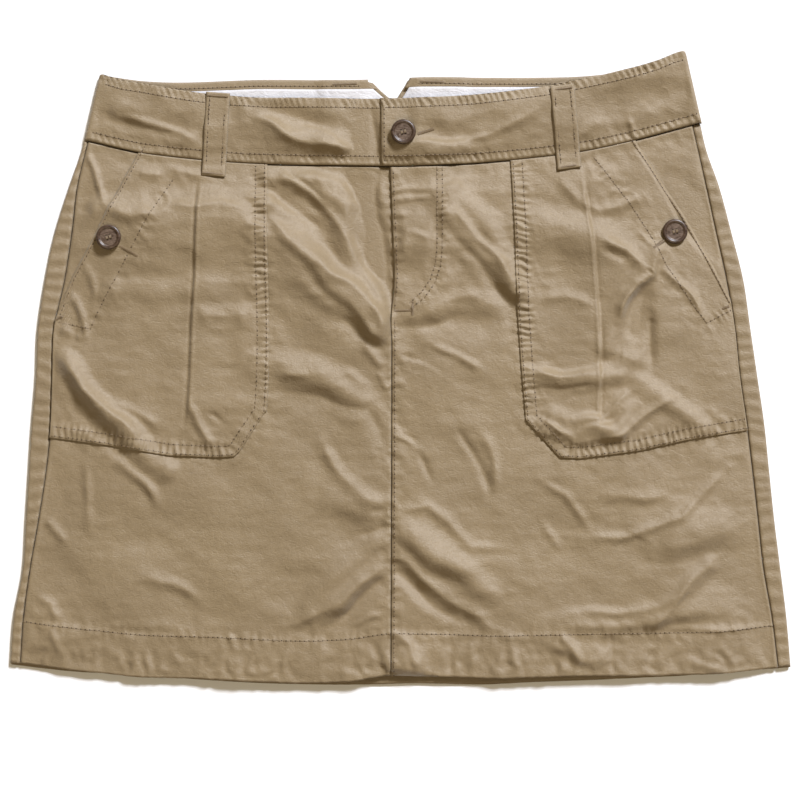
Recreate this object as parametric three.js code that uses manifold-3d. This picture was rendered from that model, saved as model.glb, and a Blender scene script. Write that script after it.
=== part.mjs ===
// Cargo utility skirt in cotton twill, laid flat with its front side up.
// Millimetres. X runs to the right as seen from above, Y towards the waist, Z up from the surface.
// The back panel lies on the surface and turns round both sides to the side seams on top.
import * as THREE from 'three';
import { mergeVertices } from 'three/addons/utils/BufferGeometryUtils.js';
import Module from 'manifold-3d';

const wasm = await Module();
wasm.setup();

// Thicknesses and gaps
const CLOTH = 1.2;
const BAND = 1.8;
const FACING = 1.0;
const ZIP = 1.0;
const BACK_LOOP = 1.0;
const GAP = 0.3;

// Outer radius of the folded side edge, of the skirt and of the waistband
const SIDE_FOLD = 1.9;
const BAND_FOLD = 2.85;

// Height of each layer's underside over the surface, where the cloth lies smooth
const FRONT_BASE = 2 * SIDE_FOLD - CLOTH;
const UNDERLAP_BASE = 2.0;
const ZIP_BASE = UNDERLAP_BASE + CLOTH + GAP;
const FLAP_BASE = ZIP_BASE + ZIP + GAP;
const BAND_BASE = 2 * BAND_FOLD - BAND;
const LAP_BASE = BAND_BASE + BAND + GAP;
const ROLLED_EDGE = 3.0;

// Hem, belt loops, fly and tucks
const HEM_DEPTH = 31.5;
const HEM_RISE = 0.5;
const HEM_STEP = 1.5;
const LOOP_WIDTH = 16.8;
const LOOP_BELOW_SEAM = 11;
const FRONT_LOOP_TOP = 47.5;
const LOOP_LIFT = 1.5;
const FLY_BOTTOM = 39.2;
const FLY_FADE = 26;
const FLY_COLUMNS = [3, 15, 27];
const UNDERLAP_WIDTH = 31;
const UNDERLAP_RAMP = 8;
const FLAP_WIDTH = 32;
const FLAP_FADE = 14;
const TUCK_RISE = 1.3;
const TUCK_FOOT = 2.5;
const TUCK_SPREAD = 28;
const TUCK_BELOW_WAIST = { from: 8, full: 40 };
const TUCK_LOWER_END = { from: -46, full: -20 };
const LAP_FROM = -13.7;
const LAP_TO = 28;
const LAP_FADE = 18;

// Side edges: where the cloth folds round to the back, and the side seams beside them
const SIDES = [
  { y: 174.3, leftFold: -218.4, leftSeam: -215.4, rightSeam: 203.4, rightFold: 209.7 },
  { y: 153.3, leftFold: -223.7, leftSeam: -220.7, rightSeam: 208.6, rightFold: 214.6 },
  { y: 129.5, leftFold: -232.1, leftSeam: -226.3, rightSeam: 213.9, rightFold: 223.0 },
  { y: 95.9, leftFold: -242.6, leftSeam: -230.4, rightSeam: 221.2, rightFold: 232.1 },
  { y: 62.3, leftFold: -249.6, leftSeam: -235.6, rightSeam: 228.6, rightFold: 240.5 },
  { y: 28.7, leftFold: -254.5, leftSeam: -242.7, rightSeam: 234.2, rightFold: 245.4 },
  { y: -4.9, leftFold: -255.9, leftSeam: -244.0, rightSeam: 237.7, rightFold: 250.3 },
  { y: -38.5, leftFold: -258.7, leftSeam: -245.2, rightSeam: 242.6, rightFold: 255.2 },
  { y: -72.1, leftFold: -260.8, leftSeam: -248.6, rightSeam: 246.8, rightFold: 258.7 },
  { y: -105.7, leftFold: -262.9, leftSeam: -253.8, rightSeam: 250.6, rightFold: 262.2 },
  { y: -139.3, leftFold: -265.0, leftSeam: -259.7, rightSeam: 254.3, rightFold: 266.4 },
  { y: -172.9, leftFold: -271.3, leftSeam: -264.3, rightSeam: 260.1, rightFold: 270.6 },
  { y: -208.0, leftFold: -273.84, leftSeam: -266.6, rightSeam: 264.5, rightFold: 273.6 },
];

// Lines that run down the front: tucks, inner pocket edges, and the fly edge with the centre seam
const LINES = [
  { y: 172, tuckLeft: -139.0, pocketLeft: -93.5, centre: -8.5, pocketRight: 76.0, tuckRight: 123.5 },
  { y: 144, tuckLeft: -139.7, pocketLeft: -93.2, centre: -7.5, pocketRight: 77.0, tuckRight: 125.7 },
  { y: 117, tuckLeft: -141.0, pocketLeft: -93.0, centre: -6.4, pocketRight: 78.4, tuckRight: 129.5 },
  { y: 91, tuckLeft: -142.3, pocketLeft: -92.8, centre: -5.3, pocketRight: 79.7, tuckRight: 133.1 },
  { y: 60, tuckLeft: -143.4, pocketLeft: -92.4, centre: -4.6, pocketRight: 80.7, tuckRight: 136.0 },
  { y: 40, tuckLeft: -144.8, pocketLeft: -92.0, centre: -6.3, pocketRight: 81.5, tuckRight: 137.6 },
  { y: 18, tuckLeft: -145.9, pocketLeft: -91.8, centre: -6.1, pocketRight: 83.0, tuckRight: 138.7 },
  { y: -7, tuckLeft: -146.9, pocketLeft: -92.2, centre: -6.2, pocketRight: 84.8, tuckRight: 138.7 },
  { y: -27, tuckLeft: -148.0, pocketLeft: -93.4, centre: -6.2, pocketRight: 86.7, tuckRight: 138.2 },
  { y: -62, tuckLeft: -152.0, pocketLeft: -94.5, centre: -6.3, pocketRight: 88.0, tuckRight: 138.0 },
  { y: -214, tuckLeft: -156.0, pocketLeft: -97.0, centre: -6.8, pocketRight: 92.0, tuckRight: 141.0 },
];

// Curves across the front: the waistband's top edge, the waist seam and the hem
const FRONT_ACROSS = [
  { x: -274, top: 209.0, waist: 172.6, hem: -205.0 },
  { x: -236, top: 209.0, waist: 163.9, hem: -210.0 },
  { x: -221, top: 209.0, waist: 160.4, hem: -211.8 },
  { x: -211, top: 207.2, waist: 158.1, hem: -212.6 },
  { x: -197, top: 202.6, waist: 154.7, hem: -214.2 },
  { x: -182, top: 199.9, waist: 151.5, hem: -215.6 },
  { x: -165, top: 196.8, waist: 149.2, hem: -216.2 },
  { x: -141, top: 193.1, waist: 146.6, hem: -216.7 },
  { x: -120, top: 191.2, waist: 144.9, hem: -217.6 },
  { x: -99, top: 189.7, waist: 143.7, hem: -218.7 },
  { x: -70, top: 189.4, waist: 143.0, hem: -219.8 },
  { x: -35, top: 189.1, waist: 142.4, hem: -218.4 },
  { x: -7, top: 189.0, waist: 142.1, hem: -214.5 },
  { x: 14, top: 189.4, waist: 142.3, hem: -214.9 },
  { x: 35, top: 190.2, waist: 143.1, hem: -215.4 },
  { x: 52, top: 191.7, waist: 144.2, hem: -215.9 },
  { x: 69, top: 193.4, waist: 145.6, hem: -216.3 },
  { x: 84, top: 195.1, waist: 146.9, hem: -215.9 },
  { x: 98, top: 196.8, waist: 148.4, hem: -215.5 },
  { x: 112, top: 199.3, waist: 150.1, hem: -215.1 },
  { x: 126, top: 202.1, waist: 152.1, hem: -214.7 },
  { x: 145, top: 206.1, waist: 155.8, hem: -214.6 },
  { x: 164, top: 210.6, waist: 160.2, hem: -214.5 },
  { x: 180, top: 215.4, waist: 164.3, hem: -214.3 },
  { x: 195, top: 221.2, waist: 168.4, hem: -214.0 },
  { x: 215, top: 221.2, waist: 173.8, hem: -213.5 },
  { x: 274, top: 221.2, waist: 189.7, hem: -208.0 },
];

// The same curves of the back, which lies underneath and shows above the waist and below the hem
const BACK_ACROSS = [
  { x: -274, top: 208.0, waist: 172.6, hem: -207.2 },
  { x: -221, top: 208.0, waist: 160.4, hem: -212.8 },
  { x: -205, top: 205.5, waist: 159.4, hem: -213.5 },
  { x: -189, top: 203.0, waist: 158.0, hem: -214.5 },
  { x: -91, top: 203.0, waist: 157.5, hem: -220.5 },
  { x: -20, top: 203.0, waist: 157.5, hem: -221.2 },
  { x: 7, top: 204.4, waist: 158.0, hem: -220.4 },
  { x: 62, top: 204.4, waist: 158.8, hem: -221.2 },
  { x: 91, top: 204.4, waist: 159.4, hem: -219.7 },
  { x: 133, top: 205.8, waist: 160.8, hem: -218.2 },
  { x: 172, top: 211.5, waist: 164.5, hem: -216.3 },
  { x: 199, top: 221.2, waist: 169.5, hem: -215.0 },
  { x: 215, top: 221.2, waist: 173.8, hem: -213.5 },
  { x: 274, top: 221.2, waist: 189.7, hem: -209.3 },
];

// Ends of the waistband where it folds round each side, from the waist seam to the top edge
const BAND_ENDS = { left: { waist: -221.9, top: -211.1 }, right: { waist: 211.2, top: 199.4 } };

// Notch at the centre back: its seam, how far each slope opens, and the share of the band below it
const NOTCH = { x: -4.4, left: 18.2, right: 10.8, from: 0.64 };

// Largest folds of the laid cloth: the line each follows, its height and half width
const FOLDS = [
  { height: 2.0, width: 15, path: [[-91, 143], [-49, 136], [-20, 108], [-14, 56], [-10, 28]] },
  { height: 1.4, width: 13, path: [[-91, 115], [-49, 69], [-15, 28]] },
  { height: -0.8, width: 10, path: [[-84, 125], [-50, 112], [-34, 90]] },
  { height: -0.8, width: 12, path: [[-77, 55], [-28, 24]] },
  { height: 1.7, width: 13, path: [[38, 124], [64, 98], [81, 55]] },
  { height: -0.8, width: 11, path: [[38, 98], [60, 68], [80, 38]] },
  { height: 1.3, width: 13, path: [[-212, 112], [-160, 116], [-98, 117]] },
  { height: 0.9, width: 14, path: [[-200, 54], [-105, 58]] },
  { height: 1.6, width: 12, path: [[-236, 8], [-205, -30], [-165, -71]] },
  { height: -0.8, width: 10, path: [[-232, -12], [-196, -58]] },
  { height: -0.8, width: 12, path: [[-8, -142], [-49, -186]] },
  { height: -0.8, width: 12, path: [[-5, -137], [45, -172]] },
  { height: 1.2, width: 13, path: [[-16, -120], [-66, -166]] },
  { height: 1.2, width: 13, path: [[4, -112], [62, -156]] },
  { height: 1.5, width: 12, path: [[178, 83], [154, 48], [143, 16]] },
  { height: 1.1, width: 9, path: [[108, -32], [154, -46]] },
  { height: 1.2, width: 11, path: [[168, -10], [210, -42]] },
  { height: 1.1, width: 10, path: [[216, -138], [178, -177]] },
  { height: 0.9, width: 12, path: [[-196, 181], [-148, 162]] },
  { height: 0.8, width: 12, path: [[-108, 178], [-40, 158]] },
  { height: 0.8, width: 12, path: [[56, 168], [98, 186]] },
];
const FOLD_FADE = 14;
const FOLD_HIGHEST = 2.4;
const FOLD_LOWEST = -0.8;

// Centres of the belt loops at the band's top edge and at their lower ends
const FRONT_LOOPS = [
  { name: 'belt_loop_front_left', top: -127.4, foot: -130.9 },
  { name: 'belt_loop_front_right', top: 112.4, foot: 118.0 },
];
const BACK_LOOPS = [
  { name: 'belt_loop_back_left', x: -37.5 },
  { name: 'belt_loop_back_right', x: 27.3 },
];
const LIFT_FLAT = 14;
const LIFT_REACH = 24;
const LIFT_BELOW_LOOP = { full: 4, reach: 18 };

// Patch pockets: the slanted hand opening, then down the side seam, along the foot and up inside
const POCKET_OUTLINES = {
  left: [
    [-181.5, 156], [-204.3, 112.7], [-215.5, 90.3], [-230, 64.4], [-241.5, 36], [-270, 36],
    [-270, -44], [-245.3, -48.3], [-203.4, -53.9], [-160.7, -60.9], [-128.5, -62.3], [-116.5, -61.6],
    [-112, -57.4], [-94.5, -29.8], [-85, -20], [-85, 160],
  ],
  right: [
    [162.5, 163], [187, 125], [197.8, 109.2], [216.4, 77], [232.4, 46.6], [262, 46.6],
    [262, -40], [242.6, -43.1], [200.6, -50], [168.4, -57.4], [125.4, -63], [111.4, -62.3],
    [87.2, -35.7], [70, -26], [70, 160],
  ],
};

// Buttons: a turned disc with a raised rim and four thread holes
const BUTTON = {
  radius: 8.7, thickness: 2.8, chamfer: 1.2, edge: 1.0, round: 0.5,
  rim: 1.7, slope: 1.2, well: 0.9, hole: 0.9, pitch: 1.7,
};
const BUTTONS = [
  { name: 'waist_button', x: 2.0, y: 164.8 },
  { name: 'pocket_button_left', x: -203.3, y: 91.7 },
  { name: 'pocket_button_right', x: 191.7, y: 96.0 },
];

// Columns of the back panel at the waist, which spread towards the hem
const BACK_COLUMNS = [
  -205, -189, -150, -110, -85, -61.5, -51.5, -23.5, -13.5, 3.3, 13.3, 41.3, 51.3, 91, 133, 172, 199,
];

// Fineness of the walls
const ROWS = 24;
const POCKET_ROWS = 16;
const POCKET_COLUMNS = 13;
const ZIP_ROWS = 6;
const FOLD_STEPS = 4;

const { lerp, smoothstep } = THREE.MathUtils;

/** Value in a table's column at a place, straight between its rows. */
function tableValue(table, key, column, place) {
  const rising = table[0][key] < table[table.length - 1][key];
  let k = 1;
  while (k < table.length - 1 && (rising ? table[k][key] < place : table[k][key] > place)) k += 1;
  const share = (place - table[k - 1][key]) / (table[k][key] - table[k - 1][key]);
  return lerp(table[k - 1][column], table[k][column], share);
}

const side = (column, y) => tableValue(SIDES, 'y', column, y);
const line = (column, y) => tableValue(LINES, 'y', column, y);
const front = (column, x) => tableValue(FRONT_ACROSS, 'x', column, x);
const back = (column, x) => tableValue(BACK_ACROSS, 'x', column, x);

/** Distance of a point from a stretch of a line. */
function distanceTo(start, end, x, y) {
  const dx = end[0] - start[0];
  const dy = end[1] - start[1];
  const share = THREE.MathUtils.clamp(((x - start[0]) * dx + (y - start[1]) * dy) / (dx * dx + dy * dy), 0, 1);
  return Math.hypot(x - start[0] - share * dx, y - start[1] - share * dy);
}

/** Height of the laid cloth's folds at a place, nil along the side seams and the waist seam. */
function foldHeight(x, y) {
  let height = 0;
  for (const fold of FOLDS) {
    let nearest = Infinity;
    for (let k = 1; k < fold.path.length; k += 1) {
      nearest = Math.min(nearest, distanceTo(fold.path[k - 1], fold.path[k], x, y));
    }
    if (nearest < fold.width) height += fold.height * Math.cos((nearest / fold.width) * Math.PI / 2) ** 2;
  }
  const fromSide = Math.min(x - side('leftSeam', y), side('rightSeam', y) - x);
  const fromWaist = Math.abs(y - front('waist', x)) - GAP;
  const free = smoothstep(fromSide, 0, FOLD_FADE) * smoothstep(fromWaist, 0, FOLD_FADE);
  return THREE.MathUtils.clamp(height, FOLD_LOWEST, FOLD_HIGHEST) * free;
}

/** How far the cloth is lifted where a back belt loop lies under it. */
function loopLift(x, y) {
  let lift = 0;
  for (const loop of BACK_LOOPS) {
    const away = Math.abs(x - loop.x);
    lift = Math.max(lift, THREE.MathUtils.clamp((LIFT_REACH - away) / (LIFT_REACH - LIFT_FLAT), 0, 1));
  }
  const { full, reach } = LIFT_BELOW_LOOP;
  const below = back('waist', x) - LOOP_BELOW_SEAM - y;
  return LOOP_LIFT * lift * THREE.MathUtils.clamp((reach - below) / (reach - full), 0, 1);
}

/** Share of the fly's full build-up at a height on the centre front. */
const flyShare = (y) => smoothstep(y, FLY_BOTTOM - FLY_FADE, FLY_BOTTOM);

/** Underside of the outer front cloth; the flap of the right front is raised over the underlap. */
function frontUnder(x, y, panel) {
  const fromCentre = x - line('centre', y);
  const raised = (FLAP_BASE - FRONT_BASE) * (1 - smoothstep(fromCentre, FLAP_WIDTH, FLAP_WIDTH + FLAP_FADE));
  const lowered = (UNDERLAP_BASE - FRONT_BASE) * smoothstep(fromCentre, -UNDERLAP_RAMP, -1);
  const change = panel === 'right' ? raised : lowered;
  return FRONT_BASE + change * flyShare(y) + foldHeight(x, y) + loopLift(x, y);
}

/** Rise of the hem band over the cloth above it. */
const hemRise = (x, y) => HEM_RISE * smoothstep(front('hem', x) + HEM_DEPTH - y, 0, HEM_STEP);

/** Rise of a pocket's tuck: slow on the side of the centre, sharp at its folded edge. */
function tuckRise(x, y, panel) {
  const beyond = panel === 'left' ? line('tuckLeft', y) - x : x - line('tuckRight', y);
  const freeAbove = smoothstep(front('waist', x) - y, TUCK_BELOW_WAIST.from, TUCK_BELOW_WAIST.full);
  const freeBelow = smoothstep(y, TUCK_LOWER_END.from, TUCK_LOWER_END.full);
  const rise = beyond > 0 ? 1 - beyond / TUCK_FOOT : smoothstep(beyond, -TUCK_SPREAD, 0);
  return TUCK_RISE * freeAbove * freeBelow * Math.max(rise, 0);
}

const pocketUnder = (x, y, panel) => frontUnder(x, y, panel) + CLOTH + GAP + tuckRise(x, y, panel);

/** Closed wall between two grids of points, given as rows of equal length. */
function wall(outer, inner) {
  const rows = outer.length;
  const columns = outer[0].length;
  const points = [...outer.flat(), ...inner.flat()];
  const faces = [];
  const at = (layer, i, j) => (layer * rows + i) * columns + j;
  const quad = (a, b, c, d) => faces.push(a, b, c, a, c, d);
  for (let i = 0; i < rows - 1; i += 1) {
    for (let j = 0; j < columns - 1; j += 1) {
      quad(at(0, i, j), at(0, i + 1, j), at(0, i + 1, j + 1), at(0, i, j + 1));
      quad(at(1, i, j), at(1, i, j + 1), at(1, i + 1, j + 1), at(1, i + 1, j));
    }
  }
  for (let j = 0; j < columns - 1; j += 1) {
    quad(at(0, 0, j), at(0, 0, j + 1), at(1, 0, j + 1), at(1, 0, j));
    quad(at(0, rows - 1, j), at(1, rows - 1, j), at(1, rows - 1, j + 1), at(0, rows - 1, j + 1));
  }
  for (let i = 0; i < rows - 1; i += 1) {
    quad(at(0, i, 0), at(1, i, 0), at(1, i + 1, 0), at(0, i + 1, 0));
    quad(at(0, i, columns - 1), at(0, i + 1, columns - 1), at(1, i + 1, columns - 1), at(1, i, columns - 1));
  }
  return facingOut(points, faces);
}

/** Geometry of a closed body, turned so that its faces point out. */
function facingOut(points, faces) {
  let volume = 0;
  const corners = [new THREE.Vector3(), new THREE.Vector3(), new THREE.Vector3()];
  for (let k = 0; k < faces.length; k += 3) {
    corners.forEach((corner, n) => corner.set(...points[faces[k + n]]));
    volume += corners[0].dot(corners[1].clone().cross(corners[2]));
  }
  if (volume < 0) faces.reverse();
  const geometry = new THREE.BufferGeometry();
  geometry.setAttribute('position', new THREE.Float32BufferAttribute(points.flat(), 3));
  geometry.setIndex(faces);
  return geometry;
}

/** Solid of a closed geometry, for cuts. */
function solidOf(geometry) {
  const bare = geometry.clone();
  bare.deleteAttribute('normal');
  bare.deleteAttribute('uv');
  const merged = mergeVertices(bare, 1e-4);
  return new wasm.Manifold(new wasm.Mesh({
    numProp: 3,
    vertProperties: merged.attributes.position.array,
    triVerts: new Uint32Array(merged.index.array),
  }));
}

/** Geometry of a solid after its cuts. */
function geometryOf(solid) {
  const mesh = solid.getMesh();
  const geometry = new THREE.BufferGeometry();
  geometry.setAttribute('position', new THREE.BufferAttribute(mesh.vertProperties, 3));
  geometry.setIndex(new THREE.BufferAttribute(mesh.triVerts, 1));
  return geometry;
}

/** Upright prism over an outline, tall enough to cut any layer. */
function prism(outline) {
  const shape = new THREE.Shape(outline.map(([x, y]) => new THREE.Vector2(x, y)));
  const geometry = new THREE.ExtrudeGeometry(shape, { depth: 30, bevelEnabled: false });
  geometry.translate(0, 0, -10);
  return solidOf(geometry);
}

/** Even stations from one value to another, without the last. */
const stations = (from, to, count) => Array.from({ length: count }, (_, k) => lerp(from, to, k / count));

/** Places of the front's columns at a height: they follow its seams, tucks and pocket edges. */
function frontColumns(y) {
  const centre = line('centre', y);
  return {
    left: [
      ...stations(side('leftSeam', y) + GAP / 2, line('tuckLeft', y) - TUCK_FOOT, 7),
      line('tuckLeft', y) - TUCK_FOOT,
      ...stations(line('tuckLeft', y), line('pocketLeft', y), 4),
      ...stations(line('pocketLeft', y), centre - UNDERLAP_RAMP, 6),
      centre - UNDERLAP_RAMP,
      centre - 1 - GAP / 2,
    ],
    underlap: [...FLY_COLUMNS, UNDERLAP_WIDTH].map((from) => centre + from),
    right: [
      ...[0, ...FLY_COLUMNS, FLAP_WIDTH].map((from) => centre + from),
      ...stations(centre + FLAP_WIDTH + FLAP_FADE, line('pocketRight', y), 3),
      ...stations(line('pocketRight', y), line('tuckRight', y), 4),
      line('tuckRight', y),
      ...stations(line('tuckRight', y) + TUCK_FOOT, side('rightSeam', y) - GAP / 2, 7),
      side('rightSeam', y) - GAP / 2,
    ],
  };
}

/** Height of a row across the front or the back: rows run from the waist seam to the hem. */
function rowHeight(across, x, row) {
  const waist = across('waist', x) - GAP;
  const hemLine = across('hem', x) + HEM_DEPTH;
  if (row <= ROWS) return lerp(waist, hemLine, row / ROWS);
  return row === ROWS + 1 ? hemLine - HEM_STEP : across('hem', x);
}

/** Point on a row whose place across depends on its own height. */
function settle(across, place, row) {
  let x = place(0);
  for (let pass = 0; pass < 8; pass += 1) x = place(rowHeight(across, x, row));
  return [x, rowHeight(across, x, row)];
}

/** Points of the front on its rows and columns; pick chooses the columns at a height. */
function frontPlan(pick, lastRow = ROWS + 2) {
  const plan = [];
  for (let row = 0; row <= lastRow; row += 1) {
    plan.push(pick(frontColumns(0)).map((_, j) => settle(front, (y) => pick(frontColumns(y))[j], row)));
  }
  return plan;
}

/** Wall over a plan of the front, from the height of its underside and its thickness. */
function wallOver(plan, under, thickness) {
  const lower = plan.map((row) => row.map(([x, y]) => [x, y, under(x, y)]));
  const upper = plan.map((row) => row.map(([x, y]) => [x, y, under(x, y) + thickness(x, y)]));
  return wall(upper, lower);
}

const panelThickness = (x, y) => CLOTH + hemRise(x, y);
const plainThickness = () => CLOTH;

/** Left front with the underlap, which reaches past the centre above the fly's lower end. */
function frontLeft() {
  const plan = frontPlan((columns) => [...columns.left, ...columns.underlap]);
  const panel = wallOver(plan, (x, y) => frontUnder(x, y, 'left'), panelThickness);
  const beyondCentre = LINES.filter((row) => row.y < FLY_BOTTOM).map((row) => [row.centre - GAP / 2, row.y]);
  const cut = prism([
    [line('centre', FLY_BOTTOM) - GAP / 2, FLY_BOTTOM],
    ...beyondCentre,
    [line('centre', -214) - GAP / 2, -240],
    [60, -240],
    [60, FLY_BOTTOM],
  ]);
  return geometryOf(solidOf(panel).subtract(cut));
}

/** Right front with the flap, whose edge is the fly edge and then the centre seam. */
function frontRight() {
  const plan = frontPlan((columns) => columns.right);
  const shifted = plan.map((row) => row.map(([x, y], j) => [j === 0 ? x + GAP / 2 : x, y]));
  return wallOver(shifted, (x, y) => frontUnder(x, y, 'right'), panelThickness);
}

/** Closed zip on the underlap, under the flap. */
function flyZip() {
  const plan = frontPlan((columns) => columns.underlap.slice(0, FLY_COLUMNS.length), ZIP_ROWS);
  return wallOver(plan, (x, y) => ZIP_BASE + foldHeight(x, y) + loopLift(x, y), () => ZIP);
}

/** Patch pocket on the columns and rows of the panel under it, cut to its outline. */
function pocket(panel) {
  const isLeft = panel === 'left';
  const pick = ({ left, right }) => (isLeft ? left.slice(0, POCKET_COLUMNS) : right.slice(-POCKET_COLUMNS));
  const plan = frontPlan(pick, POCKET_ROWS);
  const cloth = wallOver(plan, (x, y) => pocketUnder(x, y, panel), plainThickness);
  return geometryOf(solidOf(cloth).intersect(prism(POCKET_OUTLINES[panel])));
}

/** Back panel: its section runs from one side seam round the side, over the surface and up again. */
function backPanel() {
  const grid = (inset) => {
    const rows = [];
    for (let row = 0; row <= ROWS + 2; row += 1) rows.push(backSection(row, inset));
    return rows;
  };
  return wall(grid(0), grid(CLOTH));
}

function backSection(row, inset) {
  const radius = SIDE_FOLD - inset;
  const points = [];
  const leftTurn = (y) => side('leftFold', y) + SIDE_FOLD;
  const rightTurn = (y) => side('rightFold', y) - SIDE_FOLD;
  const top = (place) => points.push([...settle(front, place, row), SIDE_FOLD + radius]);
  const turn = (place, sign) => {
    const [x, yFront] = settle(front, place, row);
    const yBack = settle(back, place, row)[1];
    for (let k = 0; k <= FOLD_STEPS; k += 1) {
      const angle = (sign < 0 ? k : FOLD_STEPS - k) * Math.PI / FOLD_STEPS;
      const y = lerp(yFront, yBack, (1 - Math.cos(angle)) / 2);
      points.push([x + sign * radius * Math.sin(angle), y, SIDE_FOLD + radius * Math.cos(angle)]);
    }
  };
  top((y) => side('leftSeam', y) - GAP / 2);
  turn(leftTurn, -1);
  for (const column of BACK_COLUMNS) {
    const share = (column - leftTurn(160)) / (rightTurn(172) - leftTurn(160));
    const spread = smoothstep(row, 2, 6);
    const [x, y] = settle(back, (at) => lerp(column, lerp(leftTurn(at), rightTurn(at), share), spread), row);
    points.push([x, y, loopLift(x, y) + inset]);
  }
  turn(rightTurn, 1);
  top((y) => side('rightSeam', y) + GAP / 2);
  return points;
}

/** Rise of the waistband where its right end laps over the left one. */
const lapRise = (x) => (LAP_BASE - BAND_BASE) * (1 - smoothstep(x, LAP_TO, LAP_TO + LAP_FADE));

// Columns of the waistband on the front, from its lapped end to the side, and on the back
const BAND_FRONT = {
  left: [
    25.6, 13.3, 3.3, -7, -13.5, -23.5, -35, -51.5, -61.5, -70, -84, -99, -120, -141, -165, -182, -197, -205,
  ],
  right: [LAP_FROM, -7, 3.3, 13.3, LAP_TO, 35, 41.3, 51.3, 69, 84, 98, 112, 126, 145, 164, 180, 195],
};
const BAND_BACK = {
  left: [-205, -189, -150, -110, -85, -61.5, -51.5],
  right: [199, 172, 133, 91, 51.3, 41.3],
};
const BAND_SHARES = [0, 0.14, 0.5, NOTCH.from, 0.86, 0.875, 1];
const ROLLED_FROM = 0.87;
const FACING_SHARES = [0.03, 0.5, NOTCH.from, 0.85];
const FACING_STOP = 4;

/** Where the notch cuts a half of the band, at a share of its height. */
function notchEdge(half, share) {
  const opened = Math.max(0, (share - NOTCH.from) / (1 - NOTCH.from));
  return half === 'left' ? NOTCH.x - GAP / 2 - NOTCH.left * opened : NOTCH.x + GAP / 2 + NOTCH.right * opened;
}

/** Columns of one half of the back band: the last three close up towards the notch. */
function backBandColumns(half, share, stop = 0) {
  const fixed = BAND_BACK[half];
  const from = fixed[fixed.length - 1];
  const to = notchEdge(half, share) + (half === 'left' ? -stop : stop);
  return [...fixed, lerp(from, to, 1 / 3), lerp(from, to, 2 / 3), to];
}

/** One half of the waistband, from the centre front round the side to the notch. */
function waistband(half) {
  const sign = half === 'left' ? -1 : 1;
  const ends = BAND_ENDS[half];
  const section = (share, inner) => {
    const points = [];
    const height = (across, x) => lerp(across('waist', x), across('top', x), share);
    for (const x of BAND_FRONT[half]) {
      const y = height(front, x);
      const under = BAND_BASE + foldHeight(x, y) + loopLift(x, y) + (half === 'right' ? lapRise(x) : 0);
      points.push([x, y, inner ? under : under + BAND]);
    }
    const radius = inner ? BAND_FOLD - BAND : BAND_FOLD;
    const turnX = lerp(ends.waist, ends.top, share) - sign * BAND_FOLD;
    for (let k = 0; k <= FOLD_STEPS; k += 1) {
      const angle = k * Math.PI / FOLD_STEPS;
      const y = lerp(height(front, turnX), height(back, turnX), (1 - Math.cos(angle)) / 2);
      points.push([turnX + sign * radius * Math.sin(angle), y, BAND_FOLD + radius * Math.cos(angle)]);
    }
    const thickness = share > ROLLED_FROM ? ROLLED_EDGE : BAND;
    for (const x of backBandColumns(half, share)) {
      const y = height(back, x);
      points.push([x, y, loopLift(x, y) + (inner ? thickness : 0)]);
    }
    return points;
  };
  const layer = (inner) => BAND_SHARES.map((share) => section(share, inner));
  return wall(layer(false), layer(true));
}

/** Facing on the inside of one half of the back band, below its rolled edge. */
function bandFacing(half) {
  const layer = (rise) => FACING_SHARES.map((share) => backBandColumns(half, share, FACING_STOP).map((x) => {
    const y = lerp(back('waist', x), back('top', x), share);
    return [x, y, loopLift(x, y) + BAND + GAP + rise];
  }));
  return wall(layer(FACING), layer(0));
}

/** Belt loop on the front: over the band, with its lower end on the pocket. */
function frontLoop(loop) {
  const panel = loop.top < 0 ? 'left' : 'right';
  const overSeam = [-LOOP_BELOW_SEAM, -5, -1, 2, 12, 24, 36, FRONT_LOOP_TOP];
  const carried = (x, y) => Math.max(
    BAND_BASE + BAND + foldHeight(x, y) + loopLift(x, y),
    pocketUnder(x, y, panel) + CLOTH,
  );
  const layer = (rise) => overSeam.map((over) => {
    const middle = lerp(loop.foot, loop.top, (over + LOOP_BELOW_SEAM) / (FRONT_LOOP_TOP + LOOP_BELOW_SEAM));
    const y = front('waist', middle) + over;
    const tilt = (front('waist', middle + 8) - front('waist', middle - 8)) / 16;
    const height = Math.max(...[-1, 0, 1].map((k) => carried(middle + k * LOOP_WIDTH / 2, y)));
    return [-1, -0.5, 0.5, 1].map((k) => {
      const out = k * LOOP_WIDTH / 2;
      return [middle + out, y + tilt * out, height + GAP + rise];
    });
  });
  return wall(layer(CLOTH), layer(0));
}

/** Belt loop on the back, flat on the surface under the band. */
function backLoop(loop) {
  const low = back('waist', loop.x) - LOOP_BELOW_SEAM;
  const high = back('top', loop.x) - 0.5;
  const layer = (z) => [low, lerp(low, high, 0.5), high].map((y) => (
    [-1, 0, 1].map((k) => [loop.x + k * LOOP_WIDTH / 2, y, z])
  ));
  return wall(layer(BACK_LOOP), layer(0));
}

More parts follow.
